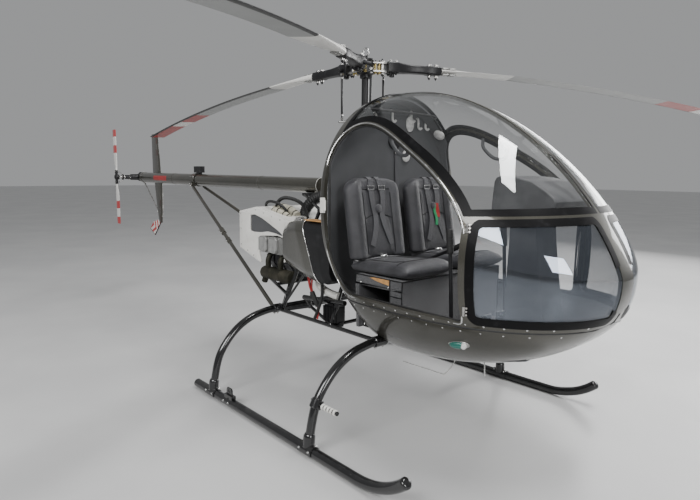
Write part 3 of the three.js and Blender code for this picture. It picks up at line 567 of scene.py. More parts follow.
class Form:
    """Points and faces of one piece while it is shaped."""

    def __init__(self):
        self.points, self.faces, self.finish = [], [], []

    def add(self, points, faces, finish=0):
        start = len(self.points)
        self.points += [Vector(p) for p in points]
        self.faces += [[start + i for i in face] for face in faces]
        self.finish += [finish] * len(faces)
        return self

    def rings(self, rings, ends=True, loop=False, finish=0):
        """A skin through closed rings of equal length."""
        n, count = len(rings[0]), len(rings)
        faces = []
        for i in range(count if loop else count - 1):
            j = (i + 1) % count
            faces += [(i * n + k, i * n + (k + 1) % n, j * n + (k + 1) % n, j * n + k) for k in range(n)]
        if ends and not loop:
            faces += [tuple(reversed(range(n))), tuple(range((count - 1) * n, count * n))]
        return self.add([p for ring in rings for p in ring], faces, finish)

    def tube(self, path, radius, sides=20, loop=False, flat=1.0, finish=0):
        """A round bar along points. radius is one number, or one for each point; flat squeezes it."""
        path = [Vector(p) for p in path]
        last = len(path) - 1
        radii = radius if isinstance(radius, (list, tuple)) else [radius] * len(path)
        rings, side = [], None
        for i, point in enumerate(path):
            behind = path[i - 1] if i or loop else path[0]
            ahead = path[(i + 1) % (last + 1)] if i < last or loop else path[last]
            along = (ahead - behind).normalized()
            side = along.orthogonal() if side is None else side - along * side.dot(along)
            side.normalize()
            other = along.cross(side)
            rings.append([point + radii[i] * (math.cos(a) * side + flat * math.sin(a) * other)
                          for a in angles(sides)])
        return self.rings(rings, loop=loop, finish=finish)

    def rod(self, start, end, radius, sides=20, finish=0):
        return self.tube([start, end], radius, sides, finish=finish)

    def turned(self, start, direction, profile, sides=32, finish=0):
        """A turned piece. profile holds (distance along the axis, radius)."""
        start, z = Vector(start), Vector(direction).normalized()
        x, y = across(z)
        rings = []
        for along, radius in profile:
            rings.append([start + z * along + max(radius, 1e-5) * (x * math.cos(a) + y * math.sin(a))
                          for a in angles(sides)])
        return self.rings(rings, finish=finish)

    def prism(self, outline, low, high, axis=1, finish=0):
        """An outline in the plane square to an axis, pushed from low to high along it."""
        return self.rings([[facing(axis, u, v, w) for u, v in outline] for w in (low, high)], finish=finish)

    def plate(self, outlines, low, high, axis=1, bevel=0.0, finish=0):
        """A flat plate with bevelled edges. The first outline is its edge, the others are holes."""
        shape = bpy.data.curves.new("plate", "CURVE")
        shape.dimensions, shape.fill_mode = "2D", "BOTH"
        shape.extrude, shape.bevel_depth, shape.offset = (high - low) / 2 - bevel, bevel, -bevel
        shape.bevel_resolution = 1
        for outline in outlines:
            spline = shape.splines.new("POLY")
            spline.points.add(len(outline) - 1)
            for point, (u, v) in zip(spline.points, outline):
                point.co = (u, v, 0, 1)
            spline.use_cyclic_u = True
        flat = bpy.data.objects.new("plate", shape)
        mesh = flat.to_mesh()
        points = [facing(axis, p.co.x, p.co.y, (low + high) / 2 + p.co.z) for p in mesh.vertices]
        self.add(points, [list(face.vertices) for face in mesh.polygons], finish)
        flat.to_mesh_clear()
        bpy.data.objects.remove(flat)
        bpy.data.curves.remove(shape)
        return self

    def block(self, low, high, finish=0):
        (x0, y0, z0), (x1, y1, z1) = low, high
        return self.prism([(x0, y0), (x1, y0), (x1, y1), (x0, y1)], z0, z1, axis=2, finish=finish)

    def bolt(self, at, out, radius, finish=0):
        """A hexagon head on its washer, with the end of its thread."""
        at, z = Vector(at), Vector(out).normalized()
        x, y = across(z)
        self.turned(at, z, [(-0.2 * radius, 1.25 * radius), (0.15 * radius, 1.25 * radius)], 16, finish)
        hexagon = [x * math.cos(a) + y * math.sin(a) for a in angles(6)]
        heights = [(0.15, 1.0), (0.8, 1.0), (0.95, 0.85)]
        head = [[at + z * h * radius + r * radius * c for c in hexagon] for h, r in heights]
        self.rings(head, finish=finish)
        return self.turned(at, z, [(0.9 * radius, 0.5 * radius), (1.5 * radius, 0.5 * radius)], 10, finish)

    def screw(self, at, out, radius, finish=0):
        """A domed screw head."""
        dome = [(-0.3, 1.0), (0.12, 1.0), (0.32, 0.8), (0.42, 0.45), (0.42, 0.25), (0.2, 0.2)]
        return self.turned(at, out, [(h * radius, r * radius) for h, r in dome], 12, finish)

    def strap(self, path, wide, width, thick, finish=0):
        """A flat belt along points; wide is the direction across it, at each point or for all."""
        path = [Vector(p) for p in path]
        sides = wide if isinstance(wide, list) else [wide] * len(path)
        rings = []
        for i, point in enumerate(path):
            along = (path[min(i + 1, len(path) - 1)] - path[max(i - 1, 0)]).normalized()
            out = Vector(sides[i]).normalized()
            up = along.cross(out).normalized()
            out = up.cross(along)
            corners = [(-1, -1), (1, -1), (1, 1), (-1, 1)]
            rings.append([point + out * (s * width / 2) + up * (t * thick / 2) for s, t in corners])
        return self.rings(rings, finish=finish)

    def moved(self, matrix):
        self.points = [matrix @ p for p in self.points]
        return self

    def join(self, other):
        start = len(self.points)
        self.points += other.points
        self.faces += [[start + i for i in face] for face in other.faces]
        self.finish += other.finish
        return self

    def object(self, name, finishes, sharp):
        """Becomes a mesh object at the part's origin."""
        mesh = bpy.data.meshes.new(name)
        mesh.from_pydata([p + MAST for p in self.points], [], self.faces)
        for material in finishes:
            mesh.materials.append(material)
        mesh.polygons.foreach_set("material_index", self.finish)
        work = bmesh.new()
        work.from_mesh(mesh)
        bmesh.ops.remove_doubles(work, verts=work.verts, dist=1e-6)
        bmesh.ops.recalc_face_normals(work, faces=work.faces)
        work.to_mesh(mesh)
        work.free()
        mesh.shade_smooth()
        mesh.set_sharp_from_angle(angle=math.radians(sharp))
        piece = bpy.data.objects.new(name, mesh)
        bpy.context.scene.collection.objects.link(piece)
        return piece

    def piece(self, name, finishes, body="airframe", replaces=(), slot=None, bevel=0.0, sharp=38):
        finishes = finishes if isinstance(finishes, list) else [finishes]
        obj = self.object(name, finishes, sharp)
        if bevel:
            edge = obj.modifiers.new("edge", "BEVEL")
            edge.width, edge.segments, edge.limit_method = bevel, 2, "ANGLE"
            edge.angle_limit, edge.harden_normals = math.radians(35), True
        return settle(obj, body, replaces)


def settle(obj, body="airframe", replaces=()):
    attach(obj, body)
    if replaces:
        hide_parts(*replaces)
    return obj


SIDES = (("left", 1), ("right", -1))


def both(make):
    """Runs a piece's function for the port and the starboard side."""
    for end, side in SIDES:
        make(end, side)


# The pod: one smooth egg, from which belly, frame and panes are cut


def pod_section(x):
    """Half width, top, bottom and belt height of the egg at a station."""
    def ahead(start):
        return np.clip((x - start) / (NOSE - start), 0, 1)

    def behind(start):
        return np.clip((start - x) / (start - RIM), 0, None)

    half = np.where(x > 0.8, 0.640 * np.sqrt(1 - ahead(0.8) ** 3), 0.640 - 0.035 * behind(0.8) ** 2)
    top = np.where(x > 0.4, NOSE_Z + 1.0 * (1 - ahead(0.4) ** 2) ** 0.77, 2.060 - 0.020 * behind(0.4) ** 2)
    bottom = np.where(x > 0.645, NOSE_Z - 0.602 * (1 - ahead(0.645) ** 2) ** 0.44,
                      0.458 + 0.259 * behind(0.645) ** 2.5)
    belt = NOSE_Z + 0.340 * (1 - ahead(RIM)) ** 1.5
    return half, top, bottom, belt


def pod_surface(u, a):
    """A point of the outer surface; u runs from the rear wall's middle (-1) over the rim (0) to the nose."""
    u, a = np.asarray(u, float), np.asarray(a, float)
    back = np.clip(-2 * u, 0, 2)
    turn = np.clip(back, 0, 1) * math.pi / 2
    x = np.where(u > 0, RIM + (NOSE - RIM) * np.sin(np.clip(u, 0, 1) * math.pi / 2),
                 RIM - (RIM - REAR_WALL) * np.sin(turn))
    scale = (1 - 0.14 * (1 - np.cos(turn))) * (1 - np.clip(back - 1, 0, 1))
    half, top, bottom, belt = pod_section(np.maximum(x, RIM))
    sin, cos = np.sin(a), np.cos(a)
    power = np.where(sin >= 0, 1, 2 / BELLY_POWER)
    y = half * np.sign(cos) * np.abs(cos) ** power
    z = np.where(sin >= 0, top - belt, belt - bottom) * np.sign(sin) * np.abs(sin) ** power
    return np.stack([x, y * scale, belt + z * scale], -1)


def pod_normal(u, a):
    step = 1e-4
    along = pod_surface(u + step, a) - pod_surface(u - step, a)
    around = pod_surface(u, a + step) - pod_surface(u, a - step)
    normal = np.cross(around, along)
    length = np.linalg.norm(normal, axis=-1, keepdims=True)
    pole = np.stack([np.sign(u), 0 * u, 0 * u], -1)
    return np.where((np.abs(u) > 0.995)[..., None], pole, normal / np.maximum(length, 1e-12))


RINGS = np.concatenate([np.linspace(-1, -0.5, 7), np.linspace(-0.5, 0, 10)[1:], np.linspace(0, 1, 128)[1:]])
TURNS = np.linspace(0, 2 * math.pi, 361)[:-1]


def pod_patch(keep, outer, inner, finishes=(0, 0, 0)):
    """The part of the egg's skin where keep(points) is above 0, between two depths, with whole edges."""
    nu, na = len(RINGS), len(TURNS)
    u, a = np.meshgrid(RINGS, TURNS, indexing="ij")
    value = keep(pod_surface(u, a))
    inside = value > 0
    used, order = {}, []

    def vertex(key, at):
        if key not in used:
            used[key] = len(order)
            order.append(at)
        return used[key]

    def crossings(di, dj):
        """Where the limit crosses the grid's edges in one direction."""
        i, j = np.meshgrid(np.arange(nu - di), np.arange(na), indexing="ij")
        cross = inside[i, j] != inside[i + di, (j + dj) % na]
        i, j = i[cross], j[cross]
        start = np.stack([RINGS[i], TURNS[j]], -1)
        end = np.stack([RINGS[i + di], TURNS[j] + dj * (TURNS[1] - TURNS[0])], -1)
        flip = ~inside[i, j]
        start[flip], end[flip] = end[flip].copy(), start[flip].copy()
        for _ in range(18):
            middle = (start + end) / 2
            good = keep(pod_surface(middle[:, 0], middle[:, 1])) > 0
            start[good], end[~good] = middle[good], middle[~good]
        return {(i[k], j[k]): tuple(start[k]) for k in range(len(i))}

    along, around = crossings(1, 0), crossings(0, 1)
    corners = [(0, 0), (1, 0), (1, 1), (0, 1)]
    edges = [("u", 0, 0), ("a", 1, 0), ("u", 0, 1), ("a", 0, 0)]
    polygons = []
    for i in range(nu - 1):
        near = inside[i] | inside[i + 1]
        for j in np.flatnonzero(near | np.roll(near, -1)):
            face = []
            for (ci, cj), (kind, ei, ej) in zip(corners, edges):
                at = (i + ci, (j + cj) % na)
                if inside[at]:
                    face.append(vertex(("g", *at), (RINGS[at[0]], TURNS[at[1]])))
                edge = (i + ei, (j + ej) % na)
                table = along if kind == "u" else around
                if edge in table:
                    face.append(vertex((kind, *edge), table[edge]))
            if len(face) > 2:
                polygons.append(face)
    place = np.array(order)
    base, normal = pod_surface(place[:, 0], place[:, 1]), pod_normal(place[:, 0], place[:, 1])
    count = len(order)
    form = Form()
    form.points = [Vector(p) for depth in (outer, inner) for p in base - depth * normal]
    directed = {(f[k], f[(k + 1) % len(f)]) for f in polygons for k in range(len(f))}
    rim = [(b, a_) for a_, b in directed if (b, a_) not in directed]
    form.faces = [list(f) for f in polygons]
    form.faces += [[i + count for i in reversed(f)] for f in polygons]
    form.faces += [[p, q, q + count, p + count] for p, q in rim]
    form.finish = [finishes[0]] * len(polygons) + [finishes[1]] * len(polygons) + [finishes[2]] * len(rim)
    return form


def skin(x, z, side, lift=0.0):
    """The point of the egg at a station and height on one side, lifted off it, and its outward direction."""
    _, top, bottom, belt = pod_section(np.array(x))
    share = (z - belt) / (top - belt) if z >= belt else -((belt - z) / (belt - bottom)) ** (BELLY_POWER / 2)
    a = math.asin(max(-1.0, min(1.0, float(share))))
    a = a if side > 0 else math.pi - a
    u = np.array(math.asin(min(1.0, (x - RIM) / (NOSE - RIM))) * 2 / math.pi)
    point, out = Vector(pod_surface(u, a)), Vector(pod_normal(u, np.array(a)))
    return point + out * lift, out


def sill(x):
    return 0.800 + 0.030 * (x - 0.300) / (NOSE - 0.300)


def bar_top(x):
    return 1.358 + 0.022 * (x - PILLAR) / (NOSE - PILLAR)


BAR_HEIGHT = 0.023


def door_outline():
    """The door opening in side view, as (x, z)."""
    rear, top, low = 0.300, 1.832, sill(0.8) + SILL_FLANGE
    corner = [(PILLAR - 0.025 * (1 - t) ** 2, low + 0.025 * t ** 2) for t in (0.0, 0.3, 0.6, 1.0)]
    front = bezier((PILLAR, 1.290), (PILLAR - 0.035, 1.395), (PILLAR - 0.170, 1.525), (0.930, 1.640), 24)
    roof = bezier((0.930, 1.640), (0.790, 1.720), (0.620, top), (0.480, top), 20)
    back = bezier((0.480, top), (0.360, top), (rear, 1.740), (rear, 1.600), 16)
    foot = [(rear + 0.016 * t * (1 - t) + 0.210 * t ** 2, low + (1.080 - low) * (1 - t) ** 2)
            for t in (k / 14 for k in range(15))]
    return [*corner, *[tuple(p) for p in front], *[tuple(p) for p in roof[1:]], *[tuple(p) for p in back[1:]],
            *foot]


DOOR = np.array(door_outline())


def door_gap(p):
    """Distance of points from the door opening in side view; below 0 inside it."""
    x, z = p[..., 0].ravel(), p[..., 2].ravel()
    best = np.full(x.shape, 9.0)
    within = np.zeros(x.shape, bool)
    for (x0, z0), (x1, z1) in zip(DOOR, np.roll(DOOR, -1, 0)):
        dx, dz = x1 - x0, z1 - z0
        t = np.clip(((x - x0) * dx + (z - z0) * dz) / max(dx * dx + dz * dz, 1e-12), 0, 1)
        best = np.minimum(best, np.hypot(x - x0 - t * dx, z - z0 - t * dz))
        if z0 != z1:
            within ^= ((z0 > z) != (z1 > z)) & (x < x0 + dx * (z - z0) / dz)
    return np.where(within, -best, best).reshape(p.shape[:-1])


def door_reach(p, side):
    """Distance of points from one door's edge, across the curved skin."""
    rim = np.array([skin(x, z, side)[0] for x, z in DOOR])
    flat = p.reshape(-1, 3)
    best = np.full(len(flat), 9.0)
    for a, b in zip(rim, np.roll(rim, -1, 0)):
        step = b - a
        t = np.clip((flat - a) @ step / max(step @ step, 1e-12), 0, 1)
        best = np.minimum(best, np.linalg.norm(flat - a - t[:, None] * step, axis=1))
    return best.reshape(p.shape[:-1])


def rounded(a, b, radius):
    """The lesser of two distances, its corner rounded."""
    near = (a < radius) & (b < radius)
    return np.where(near, radius - np.hypot(radius - a, radius - b), np.minimum(a, b))


def upper_pane(p, side):
    x, y, z = p[..., 0], p[..., 1] * side, p[..., 2]
    return np.minimum.reduce([x - HOOP_FRONT, z - bar_top(x), y - HIGH_POST, door_gap(p) - DOOR_BAND])


def lower_pane(p, side):
    x, y, z = p[..., 0], p[..., 1] * side, p[..., 2]
    rear, front = x - PILLAR - PILLAR_WIDTH, y - LOW_POST
    high, low = bar_top(x) - BAR_HEIGHT - z, z - sill(x) - SILL_FLANGE
    corner = 0.045
    return np.minimum(rounded(rear, high, corner), np.minimum(rounded(rear, low, corner),
                      np.minimum(rounded(front, high, corner), rounded(front, low, corner))))


def glazing_frame():
    """Hoop, sill flange, pillars, bars and centre post as one painted frame."""
    def keep(p):
        panes = [-pane(p, side) for pane in (upper_pane, lower_pane) for side in (1, -1)]
        return np.minimum.reduce([p[..., 2] - sill(p[..., 0]), p[..., 0] - HOOP_REAR, door_gap(p), *panes])

    frame_form = pod_patch(keep, 0, WALL, (0, 1, 0))
    frame_form.piece("glazing_frame", [BRONZE, SOFT_BLACK], slot="body_bronze", replaces=(
        "sill_frame", "hoop_frame", "centre_post", "side_frame_left", "side_frame_right"))


def belly():
    """Lower half of the egg, open above, with a slot for the front cross tube."""
    def keep(p):
        tube = np.hypot(p[..., 0] - CROSS_FRONT, p[..., 2] - CROSS_TOP) - 0.0345
        return np.minimum(sill(p[..., 0]) - GAP - p[..., 2], tube)

    pod_patch(keep, 0, WALL, (0, 1, 1)).piece(
        "belly", [BRONZE, LINING], slot="body_bronze", replaces=("belly_shell",))


def rear_wall():
    def keep(p):
        return np.minimum(p[..., 2] - sill(p[..., 0]), HOOP_REAR - GAP - p[..., 0])

    pod_patch(keep, 0, WALL, (0, 1, 0)).piece(
        "rear_wall", [BRONZE, LINING], slot="inside_grey", replaces=("rear_shell",))


def panes():
    """The four panes, each with the black painted edge inside it."""
    def upper(side):
        return lambda p: upper_pane(p, side) - GAP

    def upper_edge(side):
        def keep(p):
            x, y, z = p[..., 0], p[..., 1] * side, p[..., 2]
            from_door = door_reach(p, side)
            band = np.maximum.reduce([0.068 - from_door, 0.028 - (z - bar_top(x)), 0.006 - (y - HIGH_POST),
                                      0.026 - (x - HOOP_FRONT)])
            reach = np.minimum.reduce([x - HOOP_FRONT + 0.004, z - bar_top(x) + 0.005, y - HIGH_POST + 0.002,
                                       from_door - 0.021, door_gap(p) - 0.004])
            return np.minimum(reach, band)
        return keep

    def lower(side):
        return lambda p: lower_pane(p, side) - GAP

    def lower_edge(side):
        def keep(p):
            x, z = p[..., 0], p[..., 2]
            gap = lower_pane(p, side)
            return np.minimum.reduce([gap + 0.012, 0.030 - gap, bar_top(x) - BAR_HEIGHT + 0.005 - z,
                                      1.815 - x, z - sill(x) - 0.018])
        return keep

    for end, side in SIDES:
        pod_patch(upper(side), *PANE).piece(f"upper_pane_{end}", CLEAR, slot="canopy_clear",
                                            replaces=(f"upper_window_{end}",))
        pod_patch(lower(side), *PANE).piece(f"lower_pane_{end}", SMOKED, slot="canopy_clear",
                                            replaces=(f"lower_window_{end}",))
        pod_patch(upper_edge(side), -0.0008, 0.0028).piece(f"upper_edge_{end}", EDGE_BLACK)
        pod_patch(lower_edge(side), -0.0008, 0.0028).piece(f"lower_edge_{end}", EDGE_BLACK)


def roof_lining():
    """The rear wall's lining carries on under the hoop."""
    def keep(p):
        x, z = p[..., 0], p[..., 2]
        return np.minimum.reduce([x - HOOP_REAR, 0.345 - x, z - 1.5, door_gap(p) - 0.004])

    form = pod_patch(keep, 0.0225, 0.034)
    form.piece("roof_lining", LINING)
    edge = Form()
    heights = (1.865, 1.90, 1.94, 1.965)
    line = [skin(0.345, z, side, -0.028)[0] for side, zs in ((-1, heights), (1, heights[::-1])) for z in zs]
    edge.tube(curve(line, 40), 0.009, 12)
    edge.piece("roof_lining_bead", SOFT_BLACK)


def door_trim(end, side):
    """Seal and bright bead round a door opening, its two hinges and its latch plate."""
    seal, bead = Form(), Form()
    loop = [(x, z) for x, z in DOOR]
    inner = [skin(x, z, side, -0.016)[0] for x, z in loop]
    seal.tube(inner, 0.006, 10, loop=True)
    seal.piece(f"door_seal_{end}", RUBBER)
    centre = np.array([0.8, 1.3])
    outer = []
    for x, z in loop:
        away = np.array([x, z]) - centre
        away /= np.linalg.norm(away)
        outer.append(skin(x + 0.008 * away[0], z + 0.008 * away[1], side, 0.0005)[0])
    bead.tube(outer, 0.0048, 10, loop=True)
    bead.piece(f"door_bead_{end}", CHROME)
    hinges = Form()
    for z in (0.905, 1.300):
        at, out = skin(PILLAR + 0.024, z, side, 0.004)
        hinges.rod(at - Vector((0, 0, 0.022)), at + Vector((0, 0, 0.022)), 0.0075, 16)
        for dz in (-0.016, 0.0, 0.016):
            hinges.bolt(at + Vector((0.014, 0, dz)) - out * 0.003, out, 0.0042)
    hinges.piece(f"door_hinges_{end}", STEEL)
    latch = Form()
    at, out = skin(0.300, 1.360, side, 0.002)
    latch.block(at + Vector((-0.022, -0.008, -0.045)), at + Vector((0.008, 0.008, 0.045)))
    latch.rod(at + Vector((0.012, 0, -0.030)), at + Vector((0.012, 0, 0.030)), 0.008, 14)
    for dz in (0.030, -0.030):
        latch.bolt(at + out * 0.008 + Vector((-0.008, 0, dz)), out, 0.005)
    latch.piece(f"door_latch_{end}", SHROUD, bevel=0.002)


def sill_line(end, side):
    """Rubber strip under the sill flange and the screws that hold the flange."""
    strip, screws = Form(), Form()
    stations = [0.300 + k * 0.026 for k in range(59)]
    strip.tube([skin(min(x, 1.826), sill(x) - 0.004, side, -0.002)[0] for x in stations], 0.0055, 10)
    strip.piece(f"sill_strip_{end}", RUBBER)
    for count, start, step, rise, radius in ((17, 0.36, 0.087, 0.014, 0.0052),
                                             (15, 0.40, 0.098, -0.026, 0.0046)):
        for k in range(count):
            x = start + step * k
            at, out = skin(x, sill(x) + rise, side, 0.0)
            screws.screw(at, out, radius)
    screws.piece(f"sill_screws_{end}", CHROME)


def cabin_shell():
    belly()
    rear_wall()
    glazing_frame()
    panes()
    roof_lining()
    both(door_trim)
    both(sill_line)


# Inside the cabin


def cabin_floor():
    form = Form()
    rings = []
    for k in range(44):
        x = 0.262 + k * 0.0275
        half, _, bottom, belt = (float(v) for v in pod_section(np.array(max(x, RIM))))
        drop = (belt - FLOOR_TOP) / (belt - bottom)
        reach = half * max(0.0, 1 - drop ** BELLY_POWER) ** (1 / BELLY_POWER) - 0.034
        if reach > 0.03:
            low, top = FLOOR_TOP - 0.017, FLOOR_TOP + 0.0015
            rings.append([(x, -reach, low), (x, reach, low), (x, reach, top), (x, -reach, top)])
    form.rings(rings).piece("floor_carpet", CARPET, slot="carpet", replaces=("cabin_floor",), bevel=0.003)


def side_lining():
    """Carpet up the inside of the belly, from the floor to the sill."""
    def keep(p):
        return np.minimum.reduce([sill(p[..., 0]) - 0.006 - p[..., 2], p[..., 2] - FLOOR_TOP + 0.006,
                                  p[..., 0] - 0.270])

    pod_patch(keep, WALL + 0.0005, WALL + 0.006).piece("side_lining", CARPET)


def rear_fittings():
    """Lamps, hooks and a strap on the lining of the rear wall."""
    form = Form()  # white, chrome, black
    wall = REAR_WALL + WALL
    for y, z, wide, tall in ((0.184, 1.887, 0.036, 0.054), (0.151, 1.671, 0.036, 0.038)):
        for lift, scale, finish in ((0.0, 1.12, 1), (0.004, 1.0, 0)):
            oval = [(y + wide * scale * math.cos(a), z + tall * scale * math.sin(a))
                    for a in angles(36)]
            form.prism(oval, wall + lift, wall + lift + 0.008, axis=0, finish=finish)
        dome = [[(wall + 0.012 + 0.010 * (1 - s * s), y + wide * s * math.cos(a), z + tall * s * math.sin(a))
                 for a in angles(36)] for s in (0.98, 0.85, 0.6, 0.3, 0.05)]
        form.rings(dome)
    at, out = skin(0.318, 1.845, 1, -0.0345)
    form.turned(at, -out, [(0, 0.040), (0.006, 0.040), (0.012, 0.034), (0.017, 0.020), (0.019, 0.004)], 36)
    form.turned((wall, 0.040, 1.765), AHEAD, [(0, 0.056), (0.010, 0.056), (0.016, 0.046), (0.010, 0.030),
                (0.004, 0.004)], 36, 2)
    for y, z in ((-0.150, 1.935), (0.000, 1.965), (0.184, 1.975), (0.255, 1.930), (0.330, 1.930)):
        out = wall + 0.004
        hook = [(out, y, z), (out + 0.014, y, z - 0.010), (out + 0.016, y, z - 0.040),
                (out + 0.014, y + 0.003, z - 0.062), (out + 0.026, y + 0.010, z - 0.076),
                (out + 0.036, y + 0.014, z - 0.066)]
        form.tube(curve(hook, 24), 0.0075, 10)
        form.turned((wall, y, z), AHEAD, [(0, 0.013), (0.006, 0.013), (0.009, 0.007)], 16, 1)
    form.piece("rear_wall_fittings", [WHITE_WIRE, CHROME, SOFT_BLACK])
    strap = Form()
    path = [(wall + 0.006, 0.055, 1.690), (wall + 0.012, 0.060, 1.500), (0.300, 0.060, 1.250),
            (0.345, 0.058, 1.090)]
    strap.strap(curve(path, 24), (0, 1, 0), 0.030, 0.003)
    strap.block((wall, 0.036, 1.682), (wall + 0.014, 0.074, 1.710), 1)
    strap.piece("rear_strap", [WEBBING, STEEL], bevel=0.0008)


def grab_handle(end, side):
    """Half ring that hangs from the door's upper frame."""
    form = Form()
    ends = [skin(x, z, side, -0.024)[0] for x, z in ((0.675, 1.800), (0.845, 1.715))]
    low = (ends[0] + ends[1]) / 2 + Vector((0, -side * 0.012, -0.085))
    spread, rise = (ends[1] - ends[0]) * 0.42, Vector((0, 0, 0.030))
    bend = [ends[0], low - spread + rise, low, low + spread + rise, ends[1]]
    form.tube(curve(bend, 32), 0.011, 16)
    form.piece(f"grab_handle_{end}", HOOD)


def riser():
    """Fabric-covered riser under the cushions, open to a stowage bay at each door."""
    rear, front, half, top = 0.440, 0.820, 0.465, 0.9535
    low = FLOOR_TOP + 0.003
    form = Form()
    form.block((rear, -half, 0.897), (front, half, top))
    form.block((rear, -half, low), (0.468, half, 0.897))
    form.block((0.722, -half, low), (front, half, 0.897))
    form.block((0.468, -0.058, low), (0.722, 0.058, 0.897))
    form.block((0.468, -0.432, low), (0.722, 0.432, FLOOR_TOP + 0.029), 1)
    form.piece("seat_riser_cover", [CARPET, SOFT_BLACK], slot="black_matt",
               replaces=("seat_riser",), bevel=0.006)
    trim = Form()
    for y in (-half, half):
        for x in (0.724, front - 0.002):
            trim.tube([(x, y, low + 0.01), (x, y, top - 0.004)], 0.004, 8)
        trim.tube([(rear, y, top - 0.002), (front - 0.002, y, top - 0.002)], 0.004, 8)
    trim.tube([(front, -half, top - 0.002), (front, half, top - 0.002)], 0.004, 8)
    for side in (1, -1):
        trim.tube([(0.724, side * (half + 0.001), 0.860), (front, side * (half + 0.001), 0.860)], 0.003, 8)
    trim.piece("riser_piping", SOFT_BLACK)
    studs = Form()
    for side in (1, -1):
        for x, z in ((0.480, 0.640), (0.560, 0.640), (0.640, 0.640), (0.710, 0.640), (0.480, 0.905),
                     (0.710, 0.905)):
            studs.screw((x, side * (half + 0.0005 if z > 0.9 else 0.4325), z), (0, side, 0), 0.006)
    studs.piece("riser_studs", CHROME)
    board = Form()
    for side in (1, -1):
        edge = side * half
        outline = [(0.560, 0.944), (0.620, 0.930), (0.718, 0.918), (0.718, 0.951), (0.600, 0.951)]
        board.prism(outline, *sorted((edge, edge + side * 0.003)))
    board.piece("seat_board_edge", TAN, bevel=0.001)


BACK_SEAM, TOP_SEAM = 0.118, 1.455  # of the back pad: distance from its middle, height
PAD_SEAM, FRONT_SEAM = 0.120, 0.765  # of the cushion: distance from its middle, station
SEAM_REACH = 0.0055  # half width of what a seam holds down


def back_lean(z):
    return -0.175 * (z - 1.26)


def lumbar_arch(y):
    """Height of the seam over the lumbar pad."""
    return 1.300 - 1.9 * y * y


def seat_back_form(side):
    """Back pad: two thick bolsters and a dished middle, thinner towards its round top."""
    form = Form()
    rings = []
    steps, around = 26, 40
    for k in range(steps + 1):
        t = k / steps
        v = 1.036 + 0.484 * math.sin(t * math.pi / 2) ** 0.9
        taper = math.sqrt(max(0.0, 1 - max(0.0, (v - 1.43) / 0.092) ** 2.2))
        reach, thick = 0.085 + 0.140 * taper, 0.026 + 0.014 * taper
        ring = []
        for a in angles(around):
            y = reach * math.copysign(abs(math.cos(a)) ** 0.5, math.cos(a))
            depth = math.copysign(abs(math.sin(a)) ** 0.6, math.sin(a)) * thick
            bolster = 0.026 * math.exp(-((abs(y) - 0.170) / 0.042) ** 2) if depth > 0 else 0
            ring.append((SEAT_BACK_X + 0.040 + depth + bolster + back_lean(v), side * SEAT_Y + y, v))
        rings.append(ring)
    return form.rings(rings)


def cushion_form(side):
    """Seat pad: rolled front edge, low rear edge, sides pulled in."""
    form = Form()
    rings = []
    steps, around = 30, 40
    for k in range(steps + 1):
        t = k / steps
        x = CUSHION_REAR + 0.012 + (CUSHION_FRONT - CUSHION_REAR - 0.024) * t
        roll = math.sqrt(max(0.0, 1 - max(0.0, (t - 0.86) / 0.14) ** 2.0))
        tail = math.sqrt(max(0.0, 1 - max(0.0, (0.06 - t) / 0.06) ** 2))
        high = 1.024 + 0.026 * t + 0.010 * math.exp(-((t - 0.8) / 0.12) ** 2)
        middle, half = 0.9575 + (high - 0.9575) / 2, (high - 0.9575) / 2 * min(roll, tail)
        half = max(half, 0.012)
        reach = 0.196 + 0.014 * min(roll, tail)
        ring = []
        for a in angles(around):
            y = reach * math.copysign(abs(math.cos(a)) ** 0.45, math.cos(a))
            z = math.copysign(abs(math.sin(a)) ** 0.7, math.sin(a)) * half
            ring.append((x, side * SEAT_Y + y, middle + z))
        rings.append(ring)
    return form.rings(rings)


def swollen(form, name, node, seams, cap):
    """Makes a pad of a form: even quads, blown up as cloth with its seams and rear held, then smoothed."""
    obj = form.object(name, [LEATHER], sharp=180)
    remesh = obj.modifiers.new("even", "REMESH")
    remesh.mode, remesh.voxel_size, remesh.use_smooth_shade = "VOXEL", VOXEL, True
    bake(obj)
    blow_up(obj, seams, cap)
    smooth = obj.modifiers.new("smooth", "SUBSURF")
    smooth.levels = smooth.render_levels = 1
    bake(obj)
    settle(obj, replaces=(node,))
    return obj


def bake(obj):
    """Applies all modifiers of a piece."""
    mesh = bpy.data.meshes.new_from_object(obj.evaluated_get(bpy.context.evaluated_depsgraph_get()))
    obj.modifiers.clear()
    obj.data = mesh
    mesh.shade_smooth()


def blow_up(obj, seams, cap):
    """Twenty frames of cloth under pressure, without gravity; no point moves further than cap."""
    before = [v.co.copy() for v in obj.data.vertices]
    held = obj.vertex_groups.new(name="held")
    for vertex in obj.data.vertices:
        share = seams(vertex.co - MAST)
        if share > 0:
            held.add([vertex.index], share, "REPLACE")
    cloth = obj.modifiers.new("air", "CLOTH")
    cloth.settings.vertex_group_mass = "held"
    cloth.settings.use_pressure, cloth.settings.uniform_pressure_force = True, 4.0
    cloth.settings.effector_weights.gravity = 0
    cloth.settings.tension_stiffness = cloth.settings.compression_stiffness = 12
    cloth.settings.quality = 4
    cloth.collision_settings.use_collision = False
    cloth.point_cache.frame_start, cloth.point_cache.frame_end = 1, 20
    scene = bpy.context.scene
    for number in range(1, 21):
        scene.frame_set(number)
    swollen_mesh = obj.evaluated_get(bpy.context.evaluated_depsgraph_get()).data
    after = [v.co.copy() for v in swollen_mesh.vertices]
    obj.modifiers.clear()
    scene.frame_set(1)
    for vertex, start, end in zip(obj.data.vertices, before, after):
        move = end - start
        vertex.co = start + (move if move.length < cap else move * (cap / move.length))


